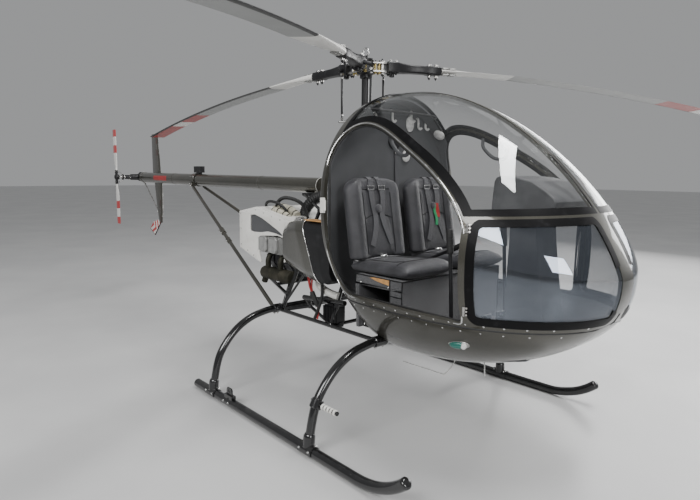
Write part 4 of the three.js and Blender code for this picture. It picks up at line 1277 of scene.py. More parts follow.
def back_seams(side):
    """Where the back pad is sewn down: two long seams, the lumbar arch, a top seam and its rear face."""
    def held(p):
        y, z = p.y - side * SEAT_Y, p.z
        if p.x < SEAT_BACK_X + 0.026 + back_lean(z):
            return 1.0
        near = abs(abs(y) - BACK_SEAM)
        if abs(y) < BACK_SEAM:
            near = min(near, abs(z - lumbar_arch(y)), abs(z - TOP_SEAM))
        return 1.0 if near < SEAM_REACH else 0.0
    return held


def cushion_seams(side):
    """Where the cushion is sewn down: two long seams, one across the front and its underside."""
    def held(p):
        y = p.y - side * SEAT_Y
        if p.z < 0.972:
            return 1.0
        on_side = 0.40 < p.x < 0.76 and abs(abs(y) - PAD_SEAM) < SEAM_REACH
        on_front = p.z > 1.0 and abs(p.x - FRONT_SEAM) < SEAM_REACH
        return 1.0 if on_side or on_front else 0.0
    return held


def surface_of(obj):
    """Finds where a line meets a pad."""
    tree = BVHTree.FromObject(obj, bpy.context.evaluated_depsgraph_get())

    def meet(point, way, lift=0.0):
        place, normal, _, _ = tree.ray_cast(Vector(point) + MAST - Vector(way) * 0.3, Vector(way))
        return Vector(point) if place is None else place - MAST + normal * lift

    return meet


def seat(end, side):
    """Both pads of one seat, with their piping and the four-point belt."""
    back = swollen(seat_back_form(side), f"back_pad_{end}", f"seat_back_{end}", back_seams(side), 0.024)
    pad = swollen(cushion_form(side), f"seat_pad_{end}", f"seat_cushion_{end}",
                  cushion_seams(side), 0.026)
    y0 = side * SEAT_Y
    on_back, on_pad = surface_of(back), surface_of(pad)
    seat_piping(end, y0, on_back, on_pad)
    seat_belt(end, y0, on_back, on_pad)
    if side > 0:
        ribbons(on_back)


def seat_piping(end, y0, on_back, on_pad):
    """Cord sewn along the seams of both pads."""
    piping = Form()

    def sewn(meet, way, points):
        piping.tube([meet(p, way, 0.001) for p in points], 0.0024, 8)

    for s in (1, -1):
        sewn(on_back, ASTERN, [(0.4, y0 + s * BACK_SEAM, 1.060 + 0.0375 * k) for k in range(11)])
        sewn(on_pad, DOWN, [(0.41 + 0.035 * k, y0 + s * PAD_SEAM, 1.0) for k in range(11)])
    steps = [-0.116 + 0.0232 * k for k in range(11)]
    sewn(on_back, ASTERN, [(0.4, y0 + y, lumbar_arch(y)) for y in steps])
    sewn(on_back, ASTERN, [(0.4, y0 + y, TOP_SEAM) for y in steps])
    sewn(on_pad, DOWN, [(FRONT_SEAM, y0 - 0.190 + 0.019 * k, 1.0) for k in range(21)])
    piping.piece(f"seat_piping_{end}", SOFT_BLACK)


def seat_belt(end, y0, on_back, on_pad):
    """Shoulder and lap straps that lie on the pads, with adjusters, side clips and a round buckle."""
    belt = Form()  # webbing, steel
    for s in (1, -1):
        shoulder = [(0.4, y0 + s * 0.034, 1.508), (0.4, y0 + s * 0.045, 1.450), (0.4, y0 + s * 0.046, 1.400),
                    (0.4, y0 + s * 0.040, 1.350), (0.4, y0 + s * 0.030, 1.300), (0.4, y0 + s * 0.036, 1.240),
                    (0.4, y0 + s * 0.060, 1.170), (0.4, y0 + s * 0.085, 1.110)]
        line = curve([on_back(p, ASTERN, 0.006) for p in shoulder], 36)
        belt.strap(line, (0, 1, 0), 0.040, 0.0026)
        top = on_back(shoulder[0], ASTERN, 0.006)
        belt.strap(curve([top, top + Vector((-0.030, 0, 0.016)), Vector((0.290, y0 + s * 0.030, 1.500)),
                          Vector((0.262, y0 + s * 0.028, 1.470))], 14), (0, 1, 0), 0.040, 0.0026)
        adjuster = on_back((0.4, y0 + s * 0.046, 1.462), ASTERN, 0.010)
        for dz in (-0.012, 0.012):
            belt.rod(adjuster + Vector((0, -0.027, dz)), adjuster + Vector((0, 0.027, dz)), 0.0032, 10, 1)
        for dy in (-0.026, 0.026):
            belt.rod(adjuster + Vector((0, dy, -0.013)), adjuster + Vector((0, dy, 0.013)), 0.0030, 10, 1)
        lap = [(0.405, y0 + s * 0.195, 1.05), (0.430, y0 + s * 0.165, 1.05), (0.452, y0 + s * 0.110, 1.05),
               (0.460, y0 + s * 0.055, 1.05), (0.462, y0 + s * 0.012, 1.05)]
        belt.strap(curve([on_pad(p, DOWN, 0.005) for p in lap], 24), AHEAD, 0.044, 0.0026)
        side_clip = on_pad((0.418, y0 + s * 0.180, 1.05), DOWN, 0.008)
        belt.block(side_clip - Vector((0.026, 0.010, 0.003)), side_clip + Vector((0.026, 0.010, 0.004)), 1)
    buckle = on_pad((0.462, y0, 1.05), DOWN, 0.004)
    belt.turned(buckle, (0.15, 0, 1),
                [(0, 0.030), (0.014, 0.030), (0.018, 0.026), (0.018, 0.020), (0.021, 0.018),
                 (0.022, 0.003)], 32, 1)
    pad_centre = on_back((0.4, y0, 1.335), ASTERN, 0.006)
    belt.turned(pad_centre, AHEAD, [(-0.004, 0.026), (0.004, 0.026), (0.008, 0.020), (0.009, 0.003)], 28, 0)
    belt.piece(f"seat_belt_{end}", [WEBBING, CHROME], bevel=0.0008)


def ribbons(on_back):
    """Plain red and green ribbons tied to the port belt."""
    form = Form()
    lines = (((0.290, 1.352), (0.290, 1.330), (0.296, 1.290), (0.290, 1.256)),
             ((0.272, 1.345), (0.266, 1.300), (0.272, 1.250), (0.262, 1.205)))
    for finish, (line, width) in enumerate(zip(lines, (0.030, 0.020))):
        path = [on_back((0.4, y, z), ASTERN, 0.013) for y, z in line]
        form.strap(curve(path, 18), (0.2, 1, 0.2), width, 0.0016, finish)
    form.piece("belt_ribbons", [RED_WIRE, GREEN])


def console():
    """Instrument hood on its pedestal, with round dials to the rear."""
    section = [(1.190, 1.330), (1.196, 1.430), (1.204, 1.515), (1.216, 1.536), (1.240, 1.545), (1.330, 1.536),
               (1.420, 1.519), (1.500, 1.474), (1.550, 1.437), (1.560, 1.420), (1.556, 1.397), (1.500, 1.360),
               (1.400, 1.304), (1.300, 1.314)]
    centre = Vector((1.36, 0, 1.43))
    widths = [(-0.200, 0.955), (-0.196, 0.985), (-0.186, 1.0), (0.186, 1.0), (0.196, 0.985), (0.200, 0.955)]
    hood = Form()
    hood.rings([[centre + (Vector((x, 0, z)) - centre) * scale + Vector((0, y, 0)) for x, z in section]
                for y, scale in widths])
    hood.piece("console_hood", HOOD, slot="inside_grey", replaces=("console",), bevel=0.004)
    stand = Form()
    rows = [(FLOOR_TOP + 0.002, 1.235, 1.470, 0.110), (0.760, 1.235, 1.480, 0.108),
            (1.000, 1.240, 1.440, 0.104), (1.200, 1.248, 1.412, 0.104), (1.322, 1.252, 1.398, 0.108)]
    stand.rings([[(a, -w, z), (b, -w, z), (b, w, z), (a, w, z)] for z, a, b, w in rows])
    stand.piece("console_stand", HOOD, bevel=0.008)
    dials = Form()  # black face, bezel, marks
    spots = [(y, z, 0.036) for y in (-0.135, -0.045, 0.045, 0.135) for z in (1.478, 1.392)]
    for y, z, radius in spots:
        at = Vector((1.1985 if z > 1.43 else 1.1930, y, z))
        dials.turned(at, ASTERN, [(-0.004, radius * 1.12), (0.006, radius * 1.12), (0.008, radius),
                                  (0.004, radius)], 36, 1)
        dials.turned(at, ASTERN, [(-0.004, radius), (0.0045, radius), (0.0046, 0.001)], 36, 0)
        for a in angles(12):
            mark = at + Vector((-0.0052, radius * 0.82 * math.sin(a), radius * 0.82 * math.cos(a)))
            dials.turned(mark, ASTERN, [(0, 0.0016), (0.0006, 0.0016)], 6, 2)
        needle = 0.9 + y * 11 + z * 7
        tip = at + Vector((-0.0052, radius * 0.7 * math.sin(needle), radius * 0.7 * math.cos(needle)))
        dials.rod(at + Vector((-0.0052, 0, 0)), tip, 0.0009, 6, 2)
    dials.piece("console_dials", [DIAL, BLACK, WHITE_WIRE])


def controls():
    """Both sticks on their torque tube, and the lever between the seats."""
    sticks = Form()  # black, grip
    base = FLOOR_TOP + 0.024
    sticks.rod((1.010, -SEAT_Y, base), (1.010, SEAT_Y, base), 0.013, 24)
    for side in (1, -1):
        y = side * SEAT_Y
        path = [(1.010, y, base), (1.006, y, 0.760), (0.996, y, 0.940), (0.987, y, 1.100), (0.985, y, 1.140)]
        sticks.tube(curve(path, 24), 0.011, 20)
        sticks.turned((0.9855, y, 1.115), (-0.08, 0, 1),
                      [(0, 0.016), (0.006, 0.019), (0.020, 0.018), (0.050, 0.0195), (0.085, 0.0175),
                       (0.115, 0.0195), (0.132, 0.0185), (0.137, 0.012)], 24, 1)
        for h in (0.030, 0.046, 0.062, 0.078, 0.094):
            sticks.turned(Vector((0.9855 - 0.08 * h, y, 1.115 + h)), (-0.08, 0, 1),
                          [(0, 0.0205), (0.004, 0.0205)], 24, 1)
        sticks.block((0.986, y - 0.024, FLOOR_TOP + 0.001), (1.034, y + 0.024, FLOOR_TOP + 0.038))
        sticks.turned((1.010, y, FLOOR_TOP + 0.040), UP, [(0, 0.036), (0.018, 0.030), (0.022, 0.022),
                      (0.036, 0.020), (0.040, 0.013)], 24, 1)
    sticks.piece("control_sticks", [BLACK, RUBBER], slot="black_matt", replaces=("cyclics",), bevel=0.0012)
    lever = Form()
    lever.block((0.502, -0.013, 0.956), (0.558, 0.013, 1.003))
    lever.tube(curve([(0.530, 0, 0.980), (0.640, 0, 1.030), (0.800, 0, 1.100)], 16), 0.010, 18)
    lever.turned((0.790, 0, 1.0945), (0.115, 0, 0.058),
                 [(0, 0.014), (0.008, 0.017), (0.060, 0.0165), (0.118, 0.017), (0.126, 0.012)], 22, 1)
    lever.bolt((0.530, -0.013, 0.980), STARBOARD, 0.007)
    lever.piece("collective_lever", [BLACK, RUBBER], slot="black_matt",
                replaces=("collective",), bevel=0.0012)


def pedals(end, side):
    """Two pedals on their shaft."""
    y = side * 0.215
    form = Form()  # steel, rubber
    shaft = FLOOR_TOP + 0.026
    form.rod((1.300, y - 0.085, shaft), (1.300, y + 0.085, shaft), 0.010, 20)
    form.block((1.282, y - 0.020, FLOOR_TOP + 0.001), (1.318, y + 0.020, FLOOR_TOP + 0.030))
    for at in (y - 0.062, y + 0.062):
        arm = [(1.300, at, shaft), (1.285, at, FLOOR_TOP + 0.080), (1.252, at, FLOOR_TOP + 0.150)]
        form.tube(curve(arm, 12), 0.009, 18)
        form.turned((1.300, at - 0.014, shaft), (0, 1, 0), [(0, 0.015), (0.028, 0.015)], 20)
        form.block((1.244, at - 0.035, FLOOR_TOP + 0.121), (1.255, at + 0.035, FLOOR_TOP + 0.204))
        for k in range(6):
            z = FLOOR_TOP + 0.128 + 0.0135 * k
            form.block((1.2395, at - 0.033, z), (1.245, at + 0.033, z + 0.007), 1)
    form.piece(f"pedal_pair_{end}", [STEEL, RUBBER], slot="steel", replaces=(f"pedals_{end}",), bevel=0.001)


def cabin_inside():
    cabin_floor()
    side_lining()
    rear_fittings()
    both(grab_handle)
    riser()
    both(seat)
    console()
    controls()
    both(pedals)


# Landing gear

ARCH = ((0.922, 0.064), (0.915, 0.130), (0.880, 0.268), (0.816, 0.370), (0.727, 0.455), (0.619, 0.512),
        (0.500, 0.540), (0.390, CROSS_TOP), (0.130, CROSS_TOP))  # half of a cross tube, as (y, z)


def arch_line(x):
    return curve([(x, -y, z) for y, z in ARCH] + [(x, y, z) for y, z in reversed(ARCH)], 120)


def skid(end, side):
    """Skid tube with its saddles, end plugs, bolts and the upright lug for a ground wheel."""
    y = side * TRACK
    line = [(SKID_REAR, y, SKID_RADIUS), (0, y, SKID_RADIUS)]
    knee = 1.160  # where the level tube and the tip's direction cross
    line += quadratic((SKID_BEND, y, SKID_RADIUS), (knee, y, SKID_RADIUS), (SKID_TIP, y, SKID_TIP_Z), 24)
    form = Form()  # enamel, bright, rubber
    form.tube(line, SKID_RADIUS, 40)
    ahead = Vector((SKID_TIP - knee, 0, SKID_TIP_Z - SKID_RADIUS))
    form.turned(line[-1], ahead,
                [(-0.004, 0.0302), (0.005, 0.0298), (0.011, 0.0265), (0.015, 0.019), (0.0165, 0.004)], 40, 0)
    form.turned(line[0], ASTERN, [(-0.002, 0.0298), (0.005, 0.0298), (0.008, 0.027), (0.009, 0.004)], 40, 2)
    for x in (CROSS_REAR, CROSS_FRONT):
        turns = [math.radians(-22 + 224 * k / 28) for k in range(29)]
        saddle = ((0.0355, turns), (0.0292, turns[::-1]))
        outline = [(y + r * math.cos(a), SKID_RADIUS + r * math.sin(a)) for r, row in saddle for a in row]
        form.prism(outline, x - 0.060, x + 0.060, axis=0)
        form.turned((x, side * 0.9265, 0.045), (0, -side * 0.007, 0.092),
                    [(0, 0.034), (0.060, 0.034), (0.068, 0.0325), (0.076, 0.0285), (0.078, 0.0270)], 32)
        for dx in (-0.042, 0.042):
            for turn in (18, 128):
                out = Vector((0, side * math.cos(math.radians(turn)), math.sin(math.radians(turn))))
                form.bolt(Vector((x + dx, y, SKID_RADIUS)) + out * 0.0358, out, 0.0062, 1)
    form.block((-0.340, y - 0.016, 0.054), (-0.240, y + 0.016, 0.082))
    lug = [(-0.325, 0.078), (-0.257, 0.078), (-0.257, 0.112), (-0.266, 0.128), (-0.316, 0.128),
           (-0.325, 0.112)]
    hole = [(-0.291 + 0.010 * math.cos(a), 0.107 + 0.010 * math.sin(a)) for a in angles(24)]
    form.plate([lug, hole], y - 0.005, y + 0.005, bevel=0.0008)
    for x in (-0.322, -0.258):
        form.bolt((x, y + side * 0.0325, 0.041), (0, side, 0.1), 0.0065, 1)
    form.piece(f"skid_tube_{end}", [ENAMEL, CHROME, RUBBER], slot="gear_black",
               replaces=(f"skid_{end}",), bevel=0.0012)


def cross_tubes():
    """Both arched tubes; the front one carries the step pegs and leaves the belly through collars."""
    rear = Form()  # enamel, bright
    rear.tube(arch_line(CROSS_REAR), CROSS_RADIUS, 32)
    for side in (1, -1):
        rear.turned((CROSS_REAR, side * 0.372, CROSS_TOP), (0, side, 0),
                    [(0, 0.0275), (0.004, 0.0330), (0.052, 0.0330), (0.056, 0.0275)], 32)
        for dx, dz in ((0.0, -0.033), (-0.033, 0.0)):
            for y in (0.386, 0.414):
                rear.bolt((CROSS_REAR + dx, side * y, CROSS_TOP + dz), (dx, 0, dz), 0.0075, 1)
    rear.piece("rear_arch_tube", [ENAMEL, STEEL], slot="gear_black",
               replaces=("rear_cross_tube",), bevel=0.001)
    front = Form()  # enamel, bright, peg rings
    front.tube(arch_line(CROSS_FRONT), CROSS_RADIUS, 32)
    for side in (1, -1):
        front.turned((CROSS_FRONT, side * 0.345, CROSS_TOP), (0, side, 0),
                     [(0, 0.0300), (0.004, 0.0340), (0.091, 0.0340), (0.095, 0.0300)], 32)
        for dy in (0.362, 0.424):
            front.bolt((CROSS_FRONT, side * dy, CROSS_TOP - 0.034), DOWN, 0.0075, 1)
        clamp, along = Vector((CROSS_FRONT, side * 0.886, 0.257)), Vector((0, -side * 0.028, 0.048))
        front.turned(clamp, along, [(0, 0.0300), (0.004, 0.0355), (0.052, 0.0355), (0.056, 0.0300)], 32)
        y, z = side * 0.872, 0.281  # of the step peg
        for bolt in (z - 0.013, z + 0.013):
            front.bolt((CROSS_FRONT - 0.034, y, bolt), ASTERN, 0.006, 1)
            front.block((CROSS_FRONT - 0.036, y - 0.012, bolt - 0.010),
                        (CROSS_FRONT - 0.020, y + 0.012, bolt + 0.010))
        front.rod((CROSS_FRONT + 0.020, y, z), (CROSS_FRONT + 0.180, y, z), 0.010, 20)
        for k in range(5):
            x = CROSS_FRONT + 0.055 + 0.025 * k
            front.turned((x - 0.002, y, z), AHEAD,
                         [(0, 0.013), (0.002, 0.0168), (0.011, 0.0168), (0.013, 0.013)], 24, 2)
        front.turned((CROSS_FRONT + 0.174, y, z), AHEAD, [(0, 0.012), (0.006, 0.012), (0.008, 0.008)], 20)
    front.piece("front_arch_tube", [ENAMEL, STEEL, SHROUD], slot="gear_black",
                replaces=("front_cross_tube",), bevel=0.001)


# Open bay behind the cabin


def welded(form, start, end, radius):
    """A frame tube with its weld beads."""
    start, end = Vector(start), Vector(end)
    form.rod(start, end, radius, 20)
    for at, way in ((start, end - start), (end, start - end)):
        form.turned(at, way, [(-0.2 * radius, 1.35 * radius), (0.9 * radius, 1.35 * radius),
                              (1.3 * radius, 1.15 * radius), (1.5 * radius, 0.98 * radius)], 20)


def truss():
    """Welded tube frame that carries engine, gearbox and boom."""
    form = Form()
    r, deck = 0.014, (0.165, 1.285)
    rear, front = CROSS_REAR + CROSS_RADIUS, CROSS_FRONT - 0.034
    low = (0.398, CROSS_TOP)
    knee, tail = (0.300, 0.600), (0.040, boom_at(-0.640).z - 0.076)
    bars = [((rear, 0.400, CROSS_TOP), (front, 0.400, CROSS_TOP), r), ((-0.440, *low), (-0.290, *deck), r),
            ((0.120, *low), (0.168, *deck), r), ((-0.440, *low), (-0.230, *knee), r - 0.002),
            ((-0.230, *knee), (0.140, *low), r - 0.002), ((-0.290, *deck), (0.168, *deck), r),
            ((-0.417, 0.363, 0.658), (-1.010, 0.170, 0.715), r),
            ((-0.290, *deck), (-0.640, *tail), r - 0.002)]
    for side in (1, -1):
        for start, end, radius in bars:
            welded(form, (start[0], side * start[1], start[2]), (end[0], side * end[1], end[2]), radius)
    for x, y, z in ((-0.440, *low), (0.120, *low), (-1.010, 0.170, 0.715), (-0.700, 0.271, 0.685),
                    (-0.290, *deck), (0.168, *deck)):
        form.rod((x, -y, z), (x, y, z), r - 0.001, 20)
    saddle = boom_at(-0.600).z - BOOM_RADIUS
    form.block((-0.655, -0.055, saddle - 0.022), (-0.560, 0.055, saddle - 0.0005))
    form.piece("tube_frame", ENAMEL, slot="gear_black", replaces=("truss_frame",), bevel=0.0008)


def frame_stays():
    """Thin stays and a bracket over the rear arch, on both sides alike."""
    stays = Form()
    for side in (1, -1):
        foot = Vector((-0.455, side * 0.392, CROSS_TOP + 0.012))
        stays.rod(foot, (-0.500, side * 0.270, 0.775), 0.0095, 16)
        stays.rod(foot, (-0.215, side * 0.352, 0.858), 0.0085, 16)
        stays.rod((-0.230, side * 0.300, 0.600), (-0.115, side * 0.372, 0.850), 0.0075, 16)
        stays.prism([(-0.485, CROSS_TOP - 0.004), (-0.405, CROSS_TOP - 0.004), (-0.425, CROSS_TOP + 0.052),
                     (-0.462, CROSS_TOP + 0.052)], side * 0.410 - 0.003, side * 0.410 + 0.003)
        stays.bolt((-0.445, side * 0.413, CROSS_TOP + 0.028), (0, side, 0), 0.008)
        stays.rod((-0.239, side * 0.350, 0.672), (0.206, side * 0.350, 0.706), 0.017, 20)
        stays.rod((-0.225, side * 0.350, 0.673), (-0.236, side * 0.296, 0.604), 0.011, 14)
        stays.rod((0.150, side * 0.350, 0.702), (0.128, side * 0.388, 0.590), 0.011, 14)
    stays.piece("frame_stays", ENAMEL)


def engine():
    """Crankcase with its drive and two finned cylinders to each side."""
    form = Form()  # casting, fins
    section = [(-0.100, 0.745), (0.100, 0.745), (0.160, 0.830), (0.160, 1.040), (0.095, 1.130),
               (-0.095, 1.130), (-0.160, 1.040), (-0.160, 0.830)]
    core = 0.93  # height of the crankcase's middle
    rows = [(-1.010, 0.90), (-0.998, 0.97), (-0.985, 1.0), (-0.495, 1.0), (-0.480, 0.97), (-0.470, 0.90)]
    form.rings([[(x, y * s, core + (z - core) * s) for y, z in section] for x, s in rows])
    for x in (-0.900, -0.790, -0.680, -0.570):
        form.prism([(y * 1.04, core + (z - core) * 1.03) for y, z in section], x - 0.006, x + 0.006, axis=0)
    form.rod((-0.470, 0, 0.955), (-0.330, 0, 0.955), 0.060, 32)
    form.turned((-0.468, 0, 0.955), AHEAD, [(0, 0.108), (0.018, 0.108), (0.026, 0.098), (0.030, 0.070)], 40)
    form.block((-1.022, -0.146, 0.7285), (-0.987, 0.146, 0.748))
    form.block((-0.716, -0.136, 0.6985), (-0.684, 0.136, 0.748))
    for side in (1, -1):
        for x in (-0.740, -0.575):
            form.turned((x, side * 0.150, 1.000), (0, side, 0), [(0, 0.060), (0.150, 0.060)], 32)
            for k in range(11):
                y = side * (0.162 + 0.0115 * k)
                fin = soften(tile(x, 0.072, 0.930, 1.072), 0.030)
                form.prism(fin, *sorted((y, y + side * 0.0042)), finish=1)
            cover = soften(tile(x, 0.066, 0.936, 1.068), 0.040)
            form.prism(cover, *sorted((side * 0.290, side * 0.336)), finish=1)
    form.piece("engine_case", [DARK_CAST, CAST], slot="cast_metal", replaces=("engine_block",), bevel=0.002)


def cylinder_covers():
    """Rounded covers with upright ribs, in the shroud's opening."""
    covers = Form()
    height = 1.002
    for side in (1, -1):
        for x in (-0.768, -0.628):
            barrel = soften(tile(x, 0.058, 0.938, 1.072), 0.045, 8)
            rings = []
            for y, share in ((0.334, 1.0), (0.346, 0.98), (0.356, 0.90), (0.361, 0.74)):
                middle = Vector((x, side * y, height))
                rings.append([middle + (Vector((u, side * y, v)) - middle) * share for u, v in barrel])
            covers.rings(rings)
            for k in range(5):
                dx = -0.038 + 0.019 * k
                tall = 0.052 - 0.18 * abs(dx) ** 1.2
                foot, top = ((x + dx, side * 0.359, height + rise) for rise in (-tall, tall))
                covers.rod(foot, top, 0.0062, 12)
    covers.piece("cylinder_covers", PALE_CAST, bevel=0.001)


def shroud():
    """White shroud over the engine: roof, ends, side plates with a dark scoop and room for the cylinders."""
    outer, thick = 0.352, 0.013
    scoop = [(-0.945, 1.216), (-0.875, 1.224), (-0.772, 1.200), (-0.660, 1.160), (-0.560, 1.122),
             (-0.498, 1.092), (-0.520, 1.084), (-0.600, 1.098), (-0.700, 1.104), (-0.800, 1.090),
             (-0.900, 1.086), (-0.948, 1.092)]
    side_edge = [(-1.110, 0.945), (-1.110, 1.240), (-0.860, 1.285), (-0.400, 1.200), (-0.430, 1.075),
                 (-0.500, 1.072), (-0.560, 1.083), (-0.780, 1.066), (-0.822, 1.030), (-0.822, 0.945),
                 (-0.790, 0.852), (-0.860, 0.868)]
    form = Form()  # white, dark inside of the scoop
    for side in (1, -1):
        low, high = sorted((side * (outer - thick), side * outer))
        form.plate([soften(side_edge, 0.016), soften(scoop, 0.012)], low, high, bevel=0.003)
        pocket = [(x + (-0.012 if x < -0.7 else 0.012), z + (0.012 if z > 1.15 else -0.010))
                  for x, z in scoop]
        low, high = sorted((side * (outer - 0.022), side * (outer - 0.0135)))
        form.prism(soften(pocket, 0.012), low, high, finish=1)
    roof = [(-1.110, 1.240), (-0.860, 1.285), (-0.400, 1.200), (-0.4035, 1.187), (-0.861, 1.271),
            (-1.107, 1.2265)]
    form.prism(roof, -outer + 0.004, outer - 0.004)
    end = [(-0.349, 0.955), (-0.244, 0.955), (-0.244, 1.176), (0.244, 1.176), (0.244, 0.955), (0.349, 0.955),
           (0.349, 1.238), (-0.349, 1.238)]
    form.prism(end, -1.110, -1.097, axis=0)
    front = [(-0.349, 0.892), (-0.252, 0.892), (-0.252, 1.156), (0.252, 1.156), (0.252, 0.892),
             (0.349, 0.892), (0.349, 1.196), (-0.349, 1.196)]
    lean = 0.078 / 0.312
    form.rings([[(dx + (z - 1.200) * lean, y, z) for y, z in front] for dx in (-0.414, -0.401)])
    form.piece("engine_shroud", [SHROUD, LINING], slot="cowl_white", replaces=("engine_cowl",), bevel=0.003)
    rivets = Form()
    for side in (1, -1):
        for x, z in ((-1.085, 0.970), (-1.085, 1.100), (-1.085, 1.222), (-0.860, 1.262), (-0.640, 1.222),
                     (-0.430, 1.184), (-0.900, 0.900), (-0.990, 0.930), (-0.990, 1.245), (-0.750, 1.243),
                     (-0.530, 1.204)):
            rivets.screw((x, side * outer, z), (0, side, 0), 0.0055)
    rivets.piece("shroud_screws", STEEL)


def ribbed(form, path, radius, ribs, finish=0, depth=0.10):
    """A corrugated hose along a path."""
    steps = ribs * 6
    line = curve(path, steps)
    form.tube(line, [radius * (1 + depth * math.cos(2 * math.pi * k / 6)) for k in range(steps + 1)],
              20, finish=finish)


def ducts():
    """Intake hose and its loops over the shroud, on foam sleeves with black bands."""
    form = Form()  # black hose, steel clips
    ribbed(form, [(-0.760, -0.210, 1.258), (-0.764, -0.210, 1.318), (-0.690, -0.210, 1.356),
                  (-0.600, -0.200, 1.356), (-0.510, -0.182, 1.330), (-0.462, -0.170, 1.280),
                  (-0.448, -0.165, 1.215)], 0.013, 60)
    for at in ((-0.760, -0.210, 1.254), (-0.448, -0.165, 1.212)):
        form.turned(at, UP, [(-0.004, 0.019), (0.014, 0.019), (0.017, 0.015)], 24, 1)
    ribbed(form, [(-0.870, -0.236, 1.262), (-0.884, -0.240, 1.300), (-0.820, -0.250, 1.326),
                  (-0.700, -0.256, 1.318), (-0.610, -0.252, 1.280), (-0.580, -0.246, 1.228)], 0.010, 60)
    form.piece("ribbed_hoses", [RUBBER, STEEL], slot="black_matt", replaces=("intake_duct",))
    trunk = Form()
    ribbed(trunk, [(-0.560, -0.110, 1.215), (-0.530, -0.100, 1.290), (-0.450, -0.080, 1.360),
                   (-0.360, -0.050, 1.380), (-0.260, -0.030, 1.360), (-0.180, -0.020, 1.300)],
           0.040, 26, depth=0.06)
    trunk.piece("air_trunk", RUBBER)
    sleeves = Form()  # cream foam, black bands
    inner = [(-0.820, -0.196, 1.262), (-0.760, -0.190, 1.282), (-0.640, -0.185, 1.268),
             (-0.540, -0.185, 1.228)]
    outer = [(-0.780, -0.258, 1.244), (-0.700, -0.264, 1.262), (-0.610, -0.260, 1.240),
             (-0.540, -0.252, 1.212)]
    for path, radius in ((inner, 0.030), (outer, 0.025)):
        line = curve(path, 40)
        sleeves.tube(line, radius, 20)
        band = [(0, radius + 0.002), (0.009, radius + 0.002)]
        for k in (8, 18, 28, 36):
            sleeves.turned(line[k], line[k + 1] - line[k - 1], band, 20, 1)
    sleeves.piece("foam_sleeves", [CREAM, SOFT_BLACK])


def muffler():
    """Muffler under the starboard cylinders with its two elbows and its outlet."""
    y = -0.316
    form = Form()
    form.turned((-0.800, y, 0.778), AHEAD,
                [(0, 0.030), (0.006, 0.046), (0.016, 0.050), (0.120, 0.050), (0.124, 0.0525), (0.132, 0.0525),
                 (0.136, 0.050), (0.250, 0.050), (0.254, 0.0525), (0.262, 0.0525), (0.266, 0.050),
                 (0.364, 0.050), (0.374, 0.046), (0.380, 0.030)], 36)
    for x in (-0.740, -0.575):
        form.tube(curve([(x, y + 0.020, 0.922), (x + 0.004, y - 0.006, 0.880), (x + 0.002, y - 0.004, 0.820),
                         (x, y, 0.775)], 16), 0.021, 24)
        form.turned((x, y + 0.020, 0.918), UP, [(-0.004, 0.030), (0.004, 0.030)], 24)
    form.tube([(-0.770, y, 0.765), (-0.786, y, 0.730), (-0.800, y, 0.700)], 0.024, 24)
    form.piece("exhaust_muffler", HOT, slot="body_bronze", replaces=("exhaust",), bevel=0.001)


TANK = ((-0.395, 0.425, 0.905, 1.180), (-0.300, 0.452, 0.880, 1.215), (-0.120, 0.497, 0.845, 1.238),
        (-0.030, 0.508, 0.835, 1.242), (0.120, 0.520, 0.835, 1.243), (0.2245, 0.505, 0.860, 1.243))
TANK_INNER = 0.345  # x, outer y, low z, high z of each ring above


def tank_ring(t, side):
    """Section of the fairing at a share of its length; its middle leans forward at its foot."""
    s = t * (len(TANK) - 1)
    i = min(int(s), len(TANK) - 2)
    x, outer, low, high = (a + (b - a) * (s - i) for a, b in zip(TANK[i], TANK[i + 1]))
    lean = 0.45 * math.sin(math.pi * t) ** 1.3
    corners = [(TANK_INNER, low), (outer - 0.030, low), (outer, low + 0.060), (outer, high - 0.060),
               (outer - 0.025, high - 0.008), (TANK_INNER, high)]
    ring = soften(corners, 0.024, 5)
    return [(min(x + lean * (1.12 - z), 0.224), side * y, z) for y, z in ring]


def tank(end, side):
    """Fuel tank's side fairing: bronze rear part, bright edge strip, black front part under a tan strip."""
    edge = 0.62
    back = Form().rings([tank_ring(edge * k / 22, side) for k in range(23)])
    back.piece(f"tank_fairing_{end}", BRONZE, slot="body_bronze", replaces=(f"fuel_tank_{end}",), bevel=0.004)
    front = Form().rings([inset(tank_ring(edge + (1 - edge) * k / 10, side), 0.006) for k in range(11)])
    front.piece(f"tank_front_{end}", SOFT_BLACK, bevel=0.003)
    strip = Form()
    ring = tank_ring(edge, side)
    outside = [Vector(p) for p in ring if abs(p[1]) > TANK_INNER + 0.05]
    strip.tube(outside, 0.0042, 10)
    strip.piece(f"tank_edge_{end}", CHROME)
    top = Form()
    top.block((-0.045, side * 0.455 - 0.040, 1.240), (0.215, side * 0.455 + 0.040, 1.2475))
    top.piece(f"tank_top_strip_{end}", TAN, bevel=0.002)
    cap = Form()
    at = Vector((-0.200, side * 0.412, 1.226))
    cap.turned(at, (-0.05, side * 0.1, 1),
               [(-0.004, 0.040), (0.006, 0.040), (0.010, 0.036), (0.012, 0.030), (0.018, 0.029),
                (0.022, 0.024), (0.023, 0.003)], 36)
    cap.piece(f"tank_cap_{end}", STEEL)


